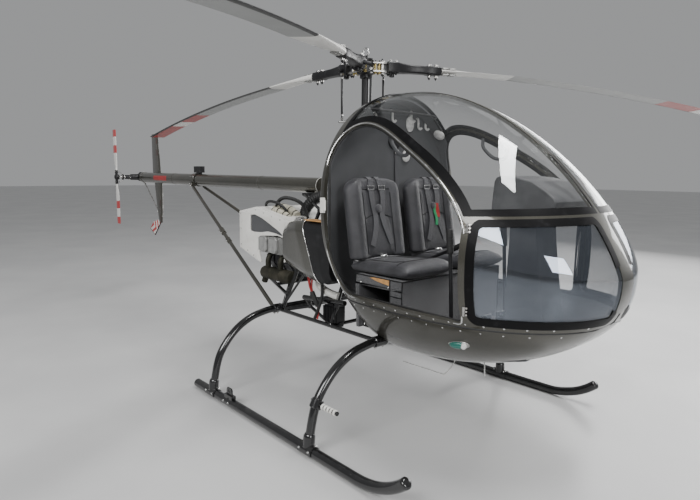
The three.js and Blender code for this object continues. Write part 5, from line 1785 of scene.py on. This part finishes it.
def wiring():
    """Red wires, a pale hose and a finned box below the starboard fairing, each fastened at both ends."""
    wires = Form()
    for k in range(5):
        dx, dy = 0.013 * (k - 2), 0.006 * math.sin(2.4 * k)
        path = [(-0.075 + dx, -0.420 + dy, 0.846), (-0.064 + 0.5 * dx, -0.424 + dy, 0.780),
                (-0.040 + 0.3 * dx, -0.414, 0.720), (-0.012 + 0.3 * dx, -0.400 - dy, 0.650),
                (-0.030 + 0.4 * dx, -0.398, 0.565)]
        wires.tube(curve(path, 28), 0.0042, 8)
    wires.piece("red_wires", RED_WIRE)
    wrap = Form()
    wrap.tube(curve([(-0.055, -0.421, 0.752), (-0.030, -0.412, 0.700),
                     (-0.014, -0.402, 0.655)], 12), 0.017, 16)
    wrap.tube(curve([(0.020, -0.395, 0.845), (0.030, -0.400, 0.740), (0.000, -0.408, 0.640),
                     (-0.045, -0.404, 0.568)], 24), 0.011, 14)
    wrap.piece("wire_wrap", RUBBER)
    hose = Form()
    ribbed(hose, [(-0.100, -0.330, 0.800), (-0.030, -0.352, 0.772), (0.060, -0.356, 0.752),
                  (0.140, -0.345, 0.740)], 0.024, 22)
    hose.piece("pale_hose", SHROUD)
    box = Form()  # black, white bolt
    box.block((0.020, -0.372, 0.562), (0.150, -0.300, 0.672))
    for k in range(8):
        x = 0.024 + 0.0165 * k
        box.block((x, -0.388, 0.566), (x + 0.005, -0.370, 0.668))
    box.block((0.010, -0.352, 0.536), (0.160, -0.320, 0.566))
    for x in (0.034, 0.136):
        box.bolt((x, -0.336, 0.538), DOWN, 0.010, 1)
    box.rod((0.085, -0.336, 0.668), (0.085, -0.345, 0.700), 0.010, 14)
    box.piece("finned_box", [BLACK, WHITE_WIRE], bevel=0.001)


def gearbox():
    """Main gearbox with its finned sump, the tower to the rotor and the drive from the engine."""
    form = Form()  # casting, steel
    profile = [(0.900, 0.100), (0.912, 0.124), (0.930, 0.128)]
    for k in range(10):
        z = 0.950 + 0.018 * k
        profile += [(z, 0.112), (z + 0.004, 0.128), (z + 0.010, 0.128), (z + 0.014, 0.112)]
    profile += [(1.150, 0.128), (1.345, 0.128), (1.360, 0.110), (1.368, 0.084), (1.462, 0.079),
                (1.478, 0.060), (1.486, 0.048), (1.632, 0.047), (1.6395, 0.044)]
    form.turned((0, 0, 0), UP, profile, 48)
    form.turned((-0.1, 0, 0.960), ASTERN,
                [(-0.03, 0.062), (0.150, 0.062), (0.155, 0.072), (0.170, 0.072), (0.175, 0.055),
                 (0.2275, 0.055)], 36)
    form.block((-0.160, -0.182, 1.245), (0.060, 0.182, 1.2705))
    for x in (-0.135, 0.035):
        for y in (-0.160, 0.160):
            form.bolt((x, y, 1.245), DOWN, 0.009, 1)
    for a in angles(10):
        form.bolt((0.100 * math.cos(a), 0.100 * math.sin(a), 1.362), UP, 0.007, 1)
    form.piece("main_gearbox", [CAST, STEEL], slot="cast_metal", replaces=("gearbox",), bevel=0.001)


def fixed_swashplate():
    """Sleeve and lower ring, with three arms and their push rods."""
    swash = Form()  # casting, black
    arm, reach = Vector((0, 0, 1.872)), 0.146
    swash.turned((0, 0, 0), UP,
                 [(1.6405, 0.031), (1.6405, 0.042), (1.850, 0.042), (1.858, 0.060), (1.862, 0.118),
                  (1.866, 0.128), (1.888, 0.128), (1.8915, 0.122), (1.8915, 0.031)], 48)
    for turn in (90, 210, 330):
        out = Vector((math.cos(math.radians(turn)), math.sin(math.radians(turn)), 0))
        swash.rod(out * 0.060 + arm, out * reach + arm, 0.010, 18)
        swash.turned(out * reach + arm - Vector((0, 0, 0.013)), UP, [(0, 0.013), (0.026, 0.013)], 20, 1)
        swash.rod(out * reach + arm - Vector((0, 0, 0.006)),
                  out * 0.118 + Vector((0, 0, 1.400)), 0.007, 14, 1)
    swash.piece("fixed_swashplate", [CAST, BLACK], slot="cast_metal", replaces=("swash_fixed",))


def engine_bay():
    truss()
    frame_stays()
    engine()
    cylinder_covers()
    shroud()
    ducts()
    muffler()
    both(tank)
    wiring()
    gearbox()
    fixed_swashplate()


# Tail


def boom_at(x):
    return BOOM_FRONT.lerp(BOOM_END, (x - BOOM_FRONT.x) / (BOOM_END.x - BOOM_FRONT.x))


def boom_band(form, x, width, radius, finish=0):
    form.turned(boom_at(x + width / 2), BOOM_END - BOOM_FRONT,
                [(0, BOOM_RADIUS), (0.001, radius), (width - 0.001, radius),
                 (width, BOOM_RADIUS)], 48, finish)


def tail_boom():
    """Boom with its seams, rivets, the struts' clamp, the aerial box and a red patch ahead of the fins."""
    form = Form()  # bronze, black, pale, red, bright
    length = (BOOM_END - BOOM_FRONT).length
    form.turned(BOOM_FRONT, BOOM_END - BOOM_FRONT,
                [(0, 0.050), (0.001, BOOM_RADIUS), (length - 0.001, BOOM_RADIUS), (length, 0.050)], 64)
    boom_band(form, -0.475, 0.005, 0.0606, 2)
    for x in (-1.300, -3.060):
        boom_band(form, x, 0.030, 0.0607)
    boom_band(form, CLAMP_X, 0.084, 0.069)
    for dx in (-0.052, 0.052):
        boom_band(form, CLAMP_X + dx, 0.010, 0.0625, 1)
    boom_band(form, -3.930, 0.050, 0.0635)
    for side in (1, -1):
        low, high = sorted((side * 0.030, side * 0.074))
        z = boom_at(CLAMP_X).z
        form.block((CLAMP_X - 0.022, low, z - 0.066), (CLAMP_X + 0.022, high, z - 0.022))
        form.bolt((CLAMP_X, side * 0.074, z - 0.046), (0, side, 0), 0.010, 4)
        for dx in (0.026, -0.026):
            form.bolt((CLAMP_X + dx, side * 0.062, z + 0.030), (0, side, 0.5), 0.007, 4)
    top = boom_at(-2.495).z + BOOM_RADIUS
    form.block((-2.520, -0.020, top - 0.006), (-2.470, 0.020, top + 0.022), 1)
    form.block((-2.560, -0.028, top + 0.014), (-2.430, 0.028, top + 0.078), 1)
    form.piece("boom_tube", [BRONZE, BLACK, SHROUD, TAIL_RED, STEEL], slot="body_bronze",
               replaces=("tail_boom",), bevel=0.0015)
    rivets = Form()
    for x in (-1.290, -1.310, -3.050, -3.070, -3.915, -3.945):
        for a in angles(16):
            out = Vector((0, math.cos(a), math.sin(a)))
            rivets.screw(boom_at(x) + out * 0.0606, out, 0.0034)
    rivets.piece("boom_rivets", BRONZE)
    patch = Form()
    for side in (1, -1):
        turns = [math.radians(-24 + 4 * k) for k in range(14)]
        edge = [(0.0606, t) for t in turns] + [(0.0598, t) for t in reversed(turns)]
        patch.rings([[boom_at(x) + Vector((0, side * r * math.cos(a), r * math.sin(a))) for r, a in edge]
                     for x in (-3.530, -3.180)])
    patch.piece("boom_red_patch", TAIL_RED)


def strut(end, side):
    foot = Vector((CROSS_REAR, side * 0.415, CROSS_TOP))
    head = Vector((CLAMP_X - 0.005, side * 0.056, boom_at(CLAMP_X).z - 0.062))
    along = head - foot
    form = Form()  # bronze, bright
    start = foot + along.normalized() * (CROSS_RADIUS + 0.004)
    stop = head - along.normalized() * 0.020
    form.tube([start, start.lerp(stop, 0.02), start.lerp(stop, 0.98), stop],
              [0.0125, 0.016, 0.016, 0.0125], 28)
    form.turned(foot + along * 0.46, along,
                [(0, 0.016), (0.004, 0.0215), (0.060, 0.0215), (0.064, 0.016)], 28)
    form.turned(foot + along * 0.53, along,
                [(0, 0.016), (0.004, 0.0230), (0.086, 0.0230), (0.090, 0.016)], 28)
    for share in (0.47, 0.538, 0.560):
        form.bolt(foot + along * share + Vector((0, side * 0.022, 0)), (0, side, 0), 0.007, 1)
    form.turned(foot + Vector((-0.036, 0, -0.004)), (-0.8, 0, 0.2), [(-0.006, 0.019), (0.006, 0.019)], 24)
    form.bolt(head + Vector((0.004, side * 0.019, 0)), (0, side, 0), 0.008, 1)
    form.piece(f"boom_brace_{end}", [BRONZE, STEEL], slot="body_bronze", replaces=(f"boom_strut_{end}",))


def leaf(thick, turn, fullness):
    """A thin smooth section at a turn round it: share of its chord, and distance from its middle plane."""
    share = (1 - math.cos(turn)) / 2
    depth = thick / 2 * fullness * (math.sqrt(share) * (1 - share) + 0.03) * math.copysign(1, math.sin(turn))
    return share, depth


def wing(form, rows, span_axis, points=28):
    """A thin smooth wing. rows hold (place along the span, leading x, trailing x, other place, thickness)."""
    rings = []
    for span, front, rear, other, thick in rows:
        ring = []
        for k, a in enumerate(angles(points)):
            share, depth = leaf(thick, a, 2.6)
            depth = depth if k % (points // 2) else 0
            x = front + (rear - front) * share
            ring.append((x, other + depth, span) if span_axis == 2 else (x, span, other + depth))
        rings.append(ring)
    return form.rings(rings)


def fins():
    upper = Form()
    wing(upper, [(1.532, -3.455, -3.680, 0, 0.018), (1.700, -3.470, -3.682, 0, 0.018),
                 (1.975, -3.504, -3.682, 0, 0.016), (1.983, -3.512, -3.676, 0, 0.010)], 2)
    upper.piece("fin_above", BRONZE, slot="body_bronze", replaces=("upper_fin",))
    lower = Form()  # bronze, striped, black
    wing(lower, [(0.958, -3.458, -3.548, 0, 0.018), (1.180, -3.438, -3.600, 0, 0.018),
                 (1.420, -3.418, -3.640, 0, 0.018)], 2)
    guard = [(-3.806, 0.870), (-3.705, 0.955), (-3.570, 0.985), (-3.505, 0.955), (-3.676, 0.800)]
    lower.plate([guard], -0.006, 0.006, bevel=0.002, finish=1)
    brim = [Vector((x, 0, z)) for x, z in ((-3.806, 0.870), (-3.676, 0.800), (-3.505, 0.955))]
    lower.tube(brim, 0.007, 12, finish=2)
    boom_end = BOOM_END + Vector((0.022, 0, -0.067))
    lower.rod(boom_end, (-3.550, 0, 1.085), 0.007, 16, 3)
    lower.rod((-3.420, 0, boom_at(-3.49).z - 0.061), (-3.434, 0, 1.050), 0.0055, 12, 3)
    lower.rod((-3.434, 0, 1.050), (-3.510, 0, 0.980), 0.0055, 12, 3)
    lower.turned(boom_end + Vector((0, 0, 0.006)), DOWN, [(0, 0.016), (0.010, 0.016), (0.016, 0.010)], 20, 3)
    lower.bolt((-3.550, -0.008, 1.085), STARBOARD, 0.009, 3)
    lower.piece("fin_below", [BRONZE, GUARD, BLACK, STEEL], slot="body_bronze", replaces=("lower_fin",))
    level = Form()
    z = boom_at(FIN_X).z
    wing(level, [(0.062, -3.306, -3.494, z, 0.018), (0.530, -3.326, -3.474, z, 0.016),
                 (0.539, -3.334, -3.466, z, 0.009)], 1)
    level.piece("tailplane", BRONZE, slot="body_bronze", replaces=("stabiliser",))


def tail_drive():
    """Tail gearbox: housing with flanges, the shaft's neck to starboard, an oil cap on top."""
    z, x = TAIL_ROTOR.z, TAIL_ROTOR.x
    form = Form()  # black casting, steel
    form.turned((BOOM_END.x, 0, z), ASTERN,
                [(0, 0.0565), (0.006, 0.058), (0.036, 0.058), (0.042, 0.050), (0.062, 0.046), (0.072, 0.050),
                 (0.116, 0.049), (0.122, 0.042), (0.125, 0.020)], 40)
    form.turned((x, 0.020, z), STARBOARD,
                [(0, 0.044), (0.052, 0.044), (0.060, 0.037), (0.150, 0.035), (0.156, 0.030), (0.166, 0.030),
                 (0.172, 0.026), (0.216, 0.025), (0.220, 0.019)], 36)
    form.turned((x, 0, z + 0.030), UP,
                [(0, 0.030), (0.020, 0.029), (0.024, 0.022), (0.031, 0.021), (0.032, 0.006)], 28)
    for k in range(8):
        a = 2 * math.pi * (k + 0.5) / 8
        form.bolt((BOOM_END.x - 0.038, 0.051 * math.cos(a), z + 0.051 * math.sin(a)), ASTERN, 0.0055, 1)
        form.bolt((x + 0.032 * math.cos(a), -0.150, z + 0.032 * math.sin(a)), STARBOARD, 0.0042, 1)
    form.piece("tail_drive", [DARK_CAST, STEEL], slot="black_matt", replaces=("tail_gearbox",))


def tail_rotor():
    """Hub and two blades in the part's tail_rotor body."""
    hub = Form()  # black, bright
    centre = TAIL_ROTOR
    hub.turned(centre + Vector((0, 0.030, 0)), STARBOARD,
               [(0, 0.022), (0.004, 0.030), (0.046, 0.030), (0.050, 0.024), (0.052, 0.014)], 32)
    hub.turned(centre + Vector((0, 0.0995, 0)), STARBOARD, [(0, 0.014), (0.068, 0.014)], 24, 1)
    for side in (1, -1):
        hub.turned(centre + Vector((0, 0, side * 0.020)), (0, 0, side),
                   [(0, 0.0145), (0.024, 0.0145), (0.026, 0.0175), (0.058, 0.0175), (0.0615, 0.014)], 24)
        hub.bolt(centre + Vector((0, -0.0165, side * 0.060)), STARBOARD, 0.0055, 1)
        link = [centre + Vector((0.034, 0.070, side * 0.030)), centre + Vector((0.034, 0.022, side * 0.058))]
        hub.rod(link[0], link[1], 0.0035, 10, 1)
        hub.turned(link[1] + Vector((-0.014, 0, 0)), AHEAD, [(0, 0.005), (0.020, 0.005)], 12, 1)
    hub.turned(centre + Vector((0, 0.078, 0)), STARBOARD, [(0, 0.038), (0.008, 0.038), (0.010, 0.024)], 24)
    hub.piece("tail_rotor_hub", [BLACK, STEEL], "tail_rotor", slot="black_matt", replaces=("tail_hub",))
    for number, side in ((1, 1), (2, -1)):
        form = Form()
        rows = [(0.0825, 0.018, -0.020, 0.022), (0.110, 0.022, -0.028, 0.017), (0.140, 0.030, -0.044, 0.014),
                (0.200, 0.038, -0.067, 0.012), (0.540, 0.038, -0.067, 0.0095), (0.556, 0.034, -0.062, 0.006),
                (TAIL_RADIUS, 0.026, -0.054, 0.002)]
        rings = []
        for radius, front, rear, thick in rows:
            ring = []
            for k, a in enumerate(angles(24)):
                share, depth = leaf(thick, a, 2.4)
                chord = front + (rear - front) * share
                ring.append(centre + Vector((side * chord, depth if k % 12 else 0, side * radius)))
            rings.append(ring)
        form.rings(rings)
        form.piece(f"tail_rotor_blade_{number}", TAIL_BLADE, "tail_rotor", slot="tail_blade_white",
                   replaces=(f"tail_blade_{number}",))


def tail():
    tail_boom()
    both(strut)
    fins()
    tail_drive()
    tail_rotor()


# Main rotor: each arm is drawn along +X with the rotor's plane at z = 0


def arm_turn(number):
    return Matrix.Rotation(ROTOR_AZIMUTH + number * 2 * math.pi / 3, 4, "Z")


def arm_matrix(number):
    return Matrix.Translation((0, 0, HUB_Z)) @ arm_turn(number)


def droop(radius):
    return -DROOP * (radius / ROTOR_RADIUS) ** 2


def rotor_head():
    """Hub drum, bright straps with gold bolts, lifting eye."""
    head = Form()  # black, steel, gold, chrome
    head.turned((0, 0, -0.080), UP,
                [(0, 0.032), (0.004, 0.038), (0.024, 0.038), (0.030, 0.056), (0.036, 0.060), (0.044, 0.060),
                 (0.048, 0.056), (0.114, 0.056), (0.118, 0.060), (0.128, 0.060), (0.132, 0.050),
                 (0.134, 0.016), (0.152, 0.014)], 48)
    eye = [(0.027 * math.cos(a), 0, 0.096 + 0.027 * math.sin(a)) for a in angles(40)]
    head.tube(eye, 0.006, 16, loop=True, finish=3)
    for number in range(3):
        arm = Form()
        for z in (0.022, -0.034):
            strap = [(0.034, -0.030), (0.120, -0.034), (0.1495, -0.030), (0.1495, 0.030),
                     (0.120, 0.034), (0.034, 0.030)]
            arm.plate([soften(strap, 0.008)], z, z + 0.012, axis=2, bevel=0.0012, finish=1)
        for y in (-0.020, 0.020):
            for x in (0.066, 0.094):
                arm.bolt((x, y, 0.034), UP, 0.0068)
                arm.bolt((x, y, -0.034), DOWN, 0.0085, 2)
                arm.rod((x, y, -0.030), (x, y, 0.030), 0.0055, 12, 2)
        arm.turned((0.120, 0, -0.046), UP,
                   [(0, 0.010), (0.003, 0.0155), (0.089, 0.0155), (0.092, 0.010)], 24, 1)
        for z, way in ((0.046, UP), (-0.046, DOWN)):
            arm.bolt((0.120, 0, z), way, 0.009)
        head.join(arm.moved(arm_turn(number)))
    head.moved(Matrix.Translation((0, 0, HUB_Z)))
    head.piece("rotor_head", [BLACK, STEEL, GOLD, CHROME], "main_rotor", slot="steel",
               replaces=("rotor_hub",))


def rotor_mast():
    shaft = Form()
    shaft.turned((0, 0, 1.6405), UP, [(0, 0.0245), (0.002, 0.025), (0.260, 0.025)], 40)
    shaft.turned((0, 0, 1.926), UP,
                 [(0, 0.033), (0.020, 0.033), (0.024, 0.0255), (HUB_Z - 0.0805 - 1.926, 0.0252)], 40)
    shaft.piece("rotor_mast", BLACK, "main_rotor", slot="black_matt", replaces=("mast",))


def turning_swashplate():
    """Upper ring of the swashplate, with an ear for each pitch link."""
    turning = Form()  # casting, black
    ears = Vector((0, 0, 1.908))
    turning.turned((0, 0, 1.8925), UP,
                   [(0, 0.0262), (0, 0.128), (0.004, 0.134), (0.024, 0.134), (0.028, 0.124), (0.0325, 0.118),
                    (0.0325, 0.0262)], 48)
    for number in range(3):
        turn = ROTOR_AZIMUTH + LINK_ANGLE + number * 2 * math.pi / 3
        out = Vector((math.cos(turn), math.sin(turn), 0))
        turning.rod(out * 0.100 + ears, out * 0.188 + ears, 0.009, 20)
        turning.bolt(out * 0.188 + ears, out, 0.006, 1)
    turning.piece("turning_swashplate", [CAST, BLACK], "main_rotor", slot="cast_metal",
                  replaces=("swash_turning",))


def grip(number):
    """Black blade grip: clamp at the hub, tapering body, bolts hanging at its end, pitch horn."""
    form = Form()  # black, steel
    rows = [(0.1505, 0.040, 0.034), (0.154, 0.046, 0.038), (0.226, 0.046, 0.038), (0.236, 0.040, 0.034),
            (0.330, 0.034, 0.028), (0.430, 0.032, 0.027), (0.438, 0.036, 0.030), (0.534, 0.036, 0.030),
            (0.5445, 0.030, 0.025)]
    rings = []
    for x, w, h in rows:
        z = droop(x) if x > 0.3 else 0
        corners = [(-w, -h), (w, -h), (w, h), (-w, h)]
        rings.append([(x, y, z + dz) for y, dz in soften(corners, 0.014, 4)])
    form.rings(rings)
    for x in (0.170, 0.210):
        for y in (-0.030, 0.030):
            form.bolt((x, y, 0.038), UP, 0.0085, 1)
            form.bolt((x, y, -0.038), DOWN, 0.0085)
    form.turned((0.190, 0, -0.062), UP, [(0, 0.012), (0.004, 0.020), (0.030, 0.020)], 24)
    for x in (0.462, 0.512):
        form.turned((x, 0, droop(x) - 0.048), UP, [(0, 0.008), (0.003, 0.013), (0.018, 0.013), (0.020, 0.009),
                    (0.078, 0.009), (0.080, 0.013), (0.092, 0.013), (0.095, 0.008)], 20, 1)
        form.bolt((x, 0, droop(x) - 0.048), DOWN, 0.009)
    horn = curve([(0.196, 0.036, -0.006), (0.192, 0.062, -0.010), (0.180, 0.090, -0.014)], 10)
    form.tube(horn, [0.015 - 0.0003 * k for k in range(11)], 20)
    form.moved(arm_matrix(number))
    form.piece(f"grip_{number + 1}", [BLACK, STEEL], "main_rotor", slot="black_matt",
               replaces=(f"blade_grip_{number + 1}",), bevel=0.0012)


# Share of the chord from the leading edge, and of half the thickness there
AIRFOIL = ((1.0, 0.03), (0.90, 0.17), (0.75, 0.40), (0.60, 0.62), (0.45, 0.84), (0.32, 0.97), (0.22, 1.0),
           (0.13, 0.90), (0.07, 0.72), (0.03, 0.50), (0.008, 0.25))


def blade(number):
    """A blade from its white root fork to the tip cap, with a dark strip along the leading edge."""
    stations = [(0.5455, 0.036, 0.046, 0.048), (0.560, 0.038, 0.050, 0.048), (0.640, 0.042, 0.064, 0.044),
                (0.780, 0.048, 0.086, 0.034), (0.930, 0.053, 0.102, 0.027), (1.066, 0.056, 0.114, 0.021)]
    stations += [(1.068 + (ROTOR_RADIUS - 0.012 - 1.068) * k / 34, 0.056, 0.114, 0.018) for k in range(35)]
    stations += [(ROTOR_RADIUS - 0.004, 0.052, 0.110, 0.012), (ROTOR_RADIUS, 0.044, 0.100, 0.004)]
    rings = []
    for radius, front, back, thick in stations:
        z, chord = droop(radius), front + back
        upper = [(radius, front - chord * c, z + thick / 2 * t) for c, t in AIRFOIL]
        lower = [(radius, front - chord * c, z - thick / 2 * 0.8 * t) for c, t in reversed(AIRFOIL)]
        rings.append([*upper, (radius, front, z), *lower])
    form = Form()  # painted, dark strip, grey plate, bright
    form.rings(rings)
    count, edge = len(rings[0]), range(len(AIRFOIL) - 4, len(AIRFOIL) + 4)
    for index in range(len(form.finish) - 2):
        row, k = divmod(index, count)
        if k in edge and stations[row][0] > 1.06:
            form.finish[index] = 1
    for x in (0.575, 0.625):
        z = droop(x)
        cheek = soften([(x - 0.020, -0.030), (x + 0.024, -0.034), (x + 0.024, 0.026),
                        (x - 0.020, 0.024)], 0.006)
        for low, high in ((z - 0.0230, z - 0.015), (z + 0.015, z + 0.0265)):
            form.plate([cheek], low, high, axis=2, finish=2)
        form.screw((x, -0.004, z - 0.0230), DOWN, 0.006, 3)
    form.moved(arm_matrix(number))
    form.piece(f"main_blade_{number + 1}", [BLADE, EDGE_STRIP, CAST, STEEL], "main_rotor", slot="blade_grey",
               replaces=(f"blade_{number + 1}",), sharp=50)


def link(number):
    """Pitch link with an eye at each end."""
    x, y = 0.186 * math.cos(LINK_ANGLE) - 0.014, 0.186 * math.sin(LINK_ANGLE)
    low, high = Vector((x, y - 0.008, 1.9175 - HUB_Z)), Vector((x, y - 0.004, -0.0290))
    form = Form()  # black, bright
    form.tube([low, low.lerp(high, 0.10), low.lerp(high, 0.12), low.lerp(high, 0.88), low.lerp(high, 0.90),
               high], [0.0055, 0.0055, 0.0078, 0.0078, 0.0055, 0.0055], 18)
    for at, way in ((low, 1), (high, -1)):
        form.turned(at + Vector((0, 0, way * 0.012)) - Vector((0.007, 0, 0)), AHEAD,
                    [(0, 0.0085), (0.014, 0.0085)], 20, 1)
        form.turned(at + Vector((0, 0, way * 0.034)), (0, 0, way), [(0, 0.0085), (0.008, 0.0085)], 6, 1)
    form.moved(arm_matrix(number))
    form.piece(f"link_{number + 1}", [BLACK, STEEL], "main_rotor", slot="black_matt",
               replaces=(f"pitch_link_{number + 1}",))


def main_rotor():
    rotor_head()
    rotor_mast()
    turning_swashplate()
    for number in range(3):
        grip(number)
        blade(number)
        link(number)


# Small things on the belly


def lamp(end, side):
    """Teardrop navigation light: grey foot, coloured lens, white cap in front."""
    at, out = skin(1.239, 0.706, side, 0.0)
    forward = Vector(AHEAD) - out * out.x
    forward.normalize()
    up = out.cross(forward)
    frame_of = Matrix((forward, up, out)).transposed()

    def drop(length, width, depth, shift, rows=14, sides=32):
        rings = []
        for k in range(1, rows + 1):
            t = math.pi / 2 * k / rows
            ring = []
            for a in angles(sides):
                taper = 1 - 0.30 * (1 - math.cos(a)) / 2
                spot = Vector((length * math.cos(a) * math.sin(t) + shift,
                               width * taper * math.sin(a) * math.sin(t), depth * math.cos(t)))
                ring.append(at + frame_of @ spot)
            rings.append(ring)
        return rings

    foot = Form()
    foot.rings([[p + out * h for p in drop(0.060, 0.030, 0.0, 0.0)[-1]] for h in (-0.012, 0.0035)])
    foot.piece(f"lamp_foot_{end}", STEEL, bevel=0.002)
    lens = Form()
    lens.rings(drop(0.050, 0.024, 0.026, -0.004))
    lens.piece(f"lamp_lens_{end}", LENS_RED if side > 0 else LENS_GREEN,
               slot="lamp_red" if side > 0 else "lamp_green", replaces=(f"nav_light_{end}",))
    cap = Form()
    cap.rings(drop(0.016, 0.021, 0.0275, 0.030))
    cap.piece(f"lamp_cap_{end}", WHITE_WIRE)


def aerials():
    """Bent whip and short rod under the belly."""
    form = Form()  # white, black
    y, radius = -0.100, 0.0035
    bend = [(0.930, 0.490), (0.905, 0.420), (0.850, 0.352), (0.820, 0.343), (0.700, 0.341), (0.500, 0.337)]
    form.tube(curve([(x, y, z) for x, z in bend], 40), radius, 12)
    form.turned((0.933, y, 0.492), (-0.3, 0, -1), [(0, 0.022), (0.014, 0.018), (0.026, 0.008)], 24, 1)
    form.tube([(1.126, y, 0.510), (1.131, y, 0.412)], radius, 12)
    form.turned((1.125, y, 0.520), (0.05, 0, -1), [(0, 0.018), (0.020, 0.014), (0.026, 0.006)], 24, 1)
    form.piece("belly_aerials", [WHITE_WIRE, BLACK])


# Camera, light and floor


def camera():
    """The photograph's view, fitted to the aircraft's own points."""
    focal, sensor = 28.877, 36.0
    yaw, pitch, roll = (math.radians(v) for v in (48.396, -7.776, 0.497))
    place = MAST + Vector((2.912, -2.713, 1.550))
    ahead = Vector((-math.sin(yaw) * math.cos(pitch), math.cos(yaw) * math.cos(pitch), math.sin(pitch)))
    level = Vector((math.cos(yaw), math.sin(yaw), 0))
    upright = level.cross(ahead)
    right = level * math.cos(roll) + upright * math.sin(roll)
    up = upright * math.cos(roll) - level * math.sin(roll)
    data = bpy.data.cameras.new("camera")
    data.lens, data.sensor_width, data.clip_end = focal, sensor, 200
    obj = bpy.data.objects.new("camera", data)
    axes = Matrix((right, up, -ahead)).transposed().to_4x4()
    obj.matrix_world = Matrix.Translation(place) @ axes
    bpy.context.scene.collection.objects.link(obj)
    bpy.context.scene.camera = obj


def softbox(name, place, aim, width, height, power, tone=(1, 1, 1)):
    data = bpy.data.lights.new(name, "AREA")
    data.shape, data.size, data.size_y, data.energy, data.color = "RECTANGLE", width, height, power, tone
    obj = bpy.data.objects.new(name, data)
    obj.location = place
    obj.rotation_mode = "QUATERNION"
    obj.rotation_quaternion = (Vector(aim) - Vector(place)).to_track_quat("-Z", "Y")
    bpy.context.scene.collection.objects.link(obj)


def studio():
    """A pale floor, an even grey room and a few large softboxes."""
    paint = Paint("studio_floor")
    material = paint.surface({
        "Base Color": paint.mix(paint.noise(0.8).ease(0.3, 0.7), (0.52, 0.52, 0.52), (0.58, 0.58, 0.575)),
        "Roughness": 0.34 + 0.12 * paint.noise(3),
    })
    mesh = bpy.data.meshes.new("studio_floor")
    reach = 60
    mesh.from_pydata([(-reach, -reach, 0), (reach, -reach, 0), (reach, reach, 0), (-reach, reach, 0)], [],
                     [(0, 1, 2, 3)])
    mesh.materials.append(material)
    floor = bpy.data.objects.new("studio_floor", mesh)
    bpy.context.scene.collection.objects.link(floor)
    world = bpy.data.worlds.new("studio")
    world.use_nodes = True
    world.node_tree.nodes["Background"].inputs["Color"].default_value = (0.80, 0.81, 0.82, 1)
    world.node_tree.nodes["Background"].inputs["Strength"].default_value = 0.42
    bpy.context.scene.world = world
    softbox("key", (3.5, -7.5, 6.0), (0.5, 0, 1.0), 5.0, 3.0, 620)
    softbox("far_windows", (1.0, 9.0, 3.0), (0.5, 0, 1.2), 9.0, 2.4, 480)
    softbox("roof_row", (3.6, 1.6, 7.5), (0.5, 0, 1.0), 5.0, 0.9, 480)
    softbox("front", (9.0, -2.0, 3.2), (1.0, 0, 1.2), 2.4, 2.4, 190)


camera()
studio()
cabin_shell()
cabin_inside()
both(skid)
cross_tubes()
engine_bay()
tail()
main_rotor()
both(lamp)
aerials()
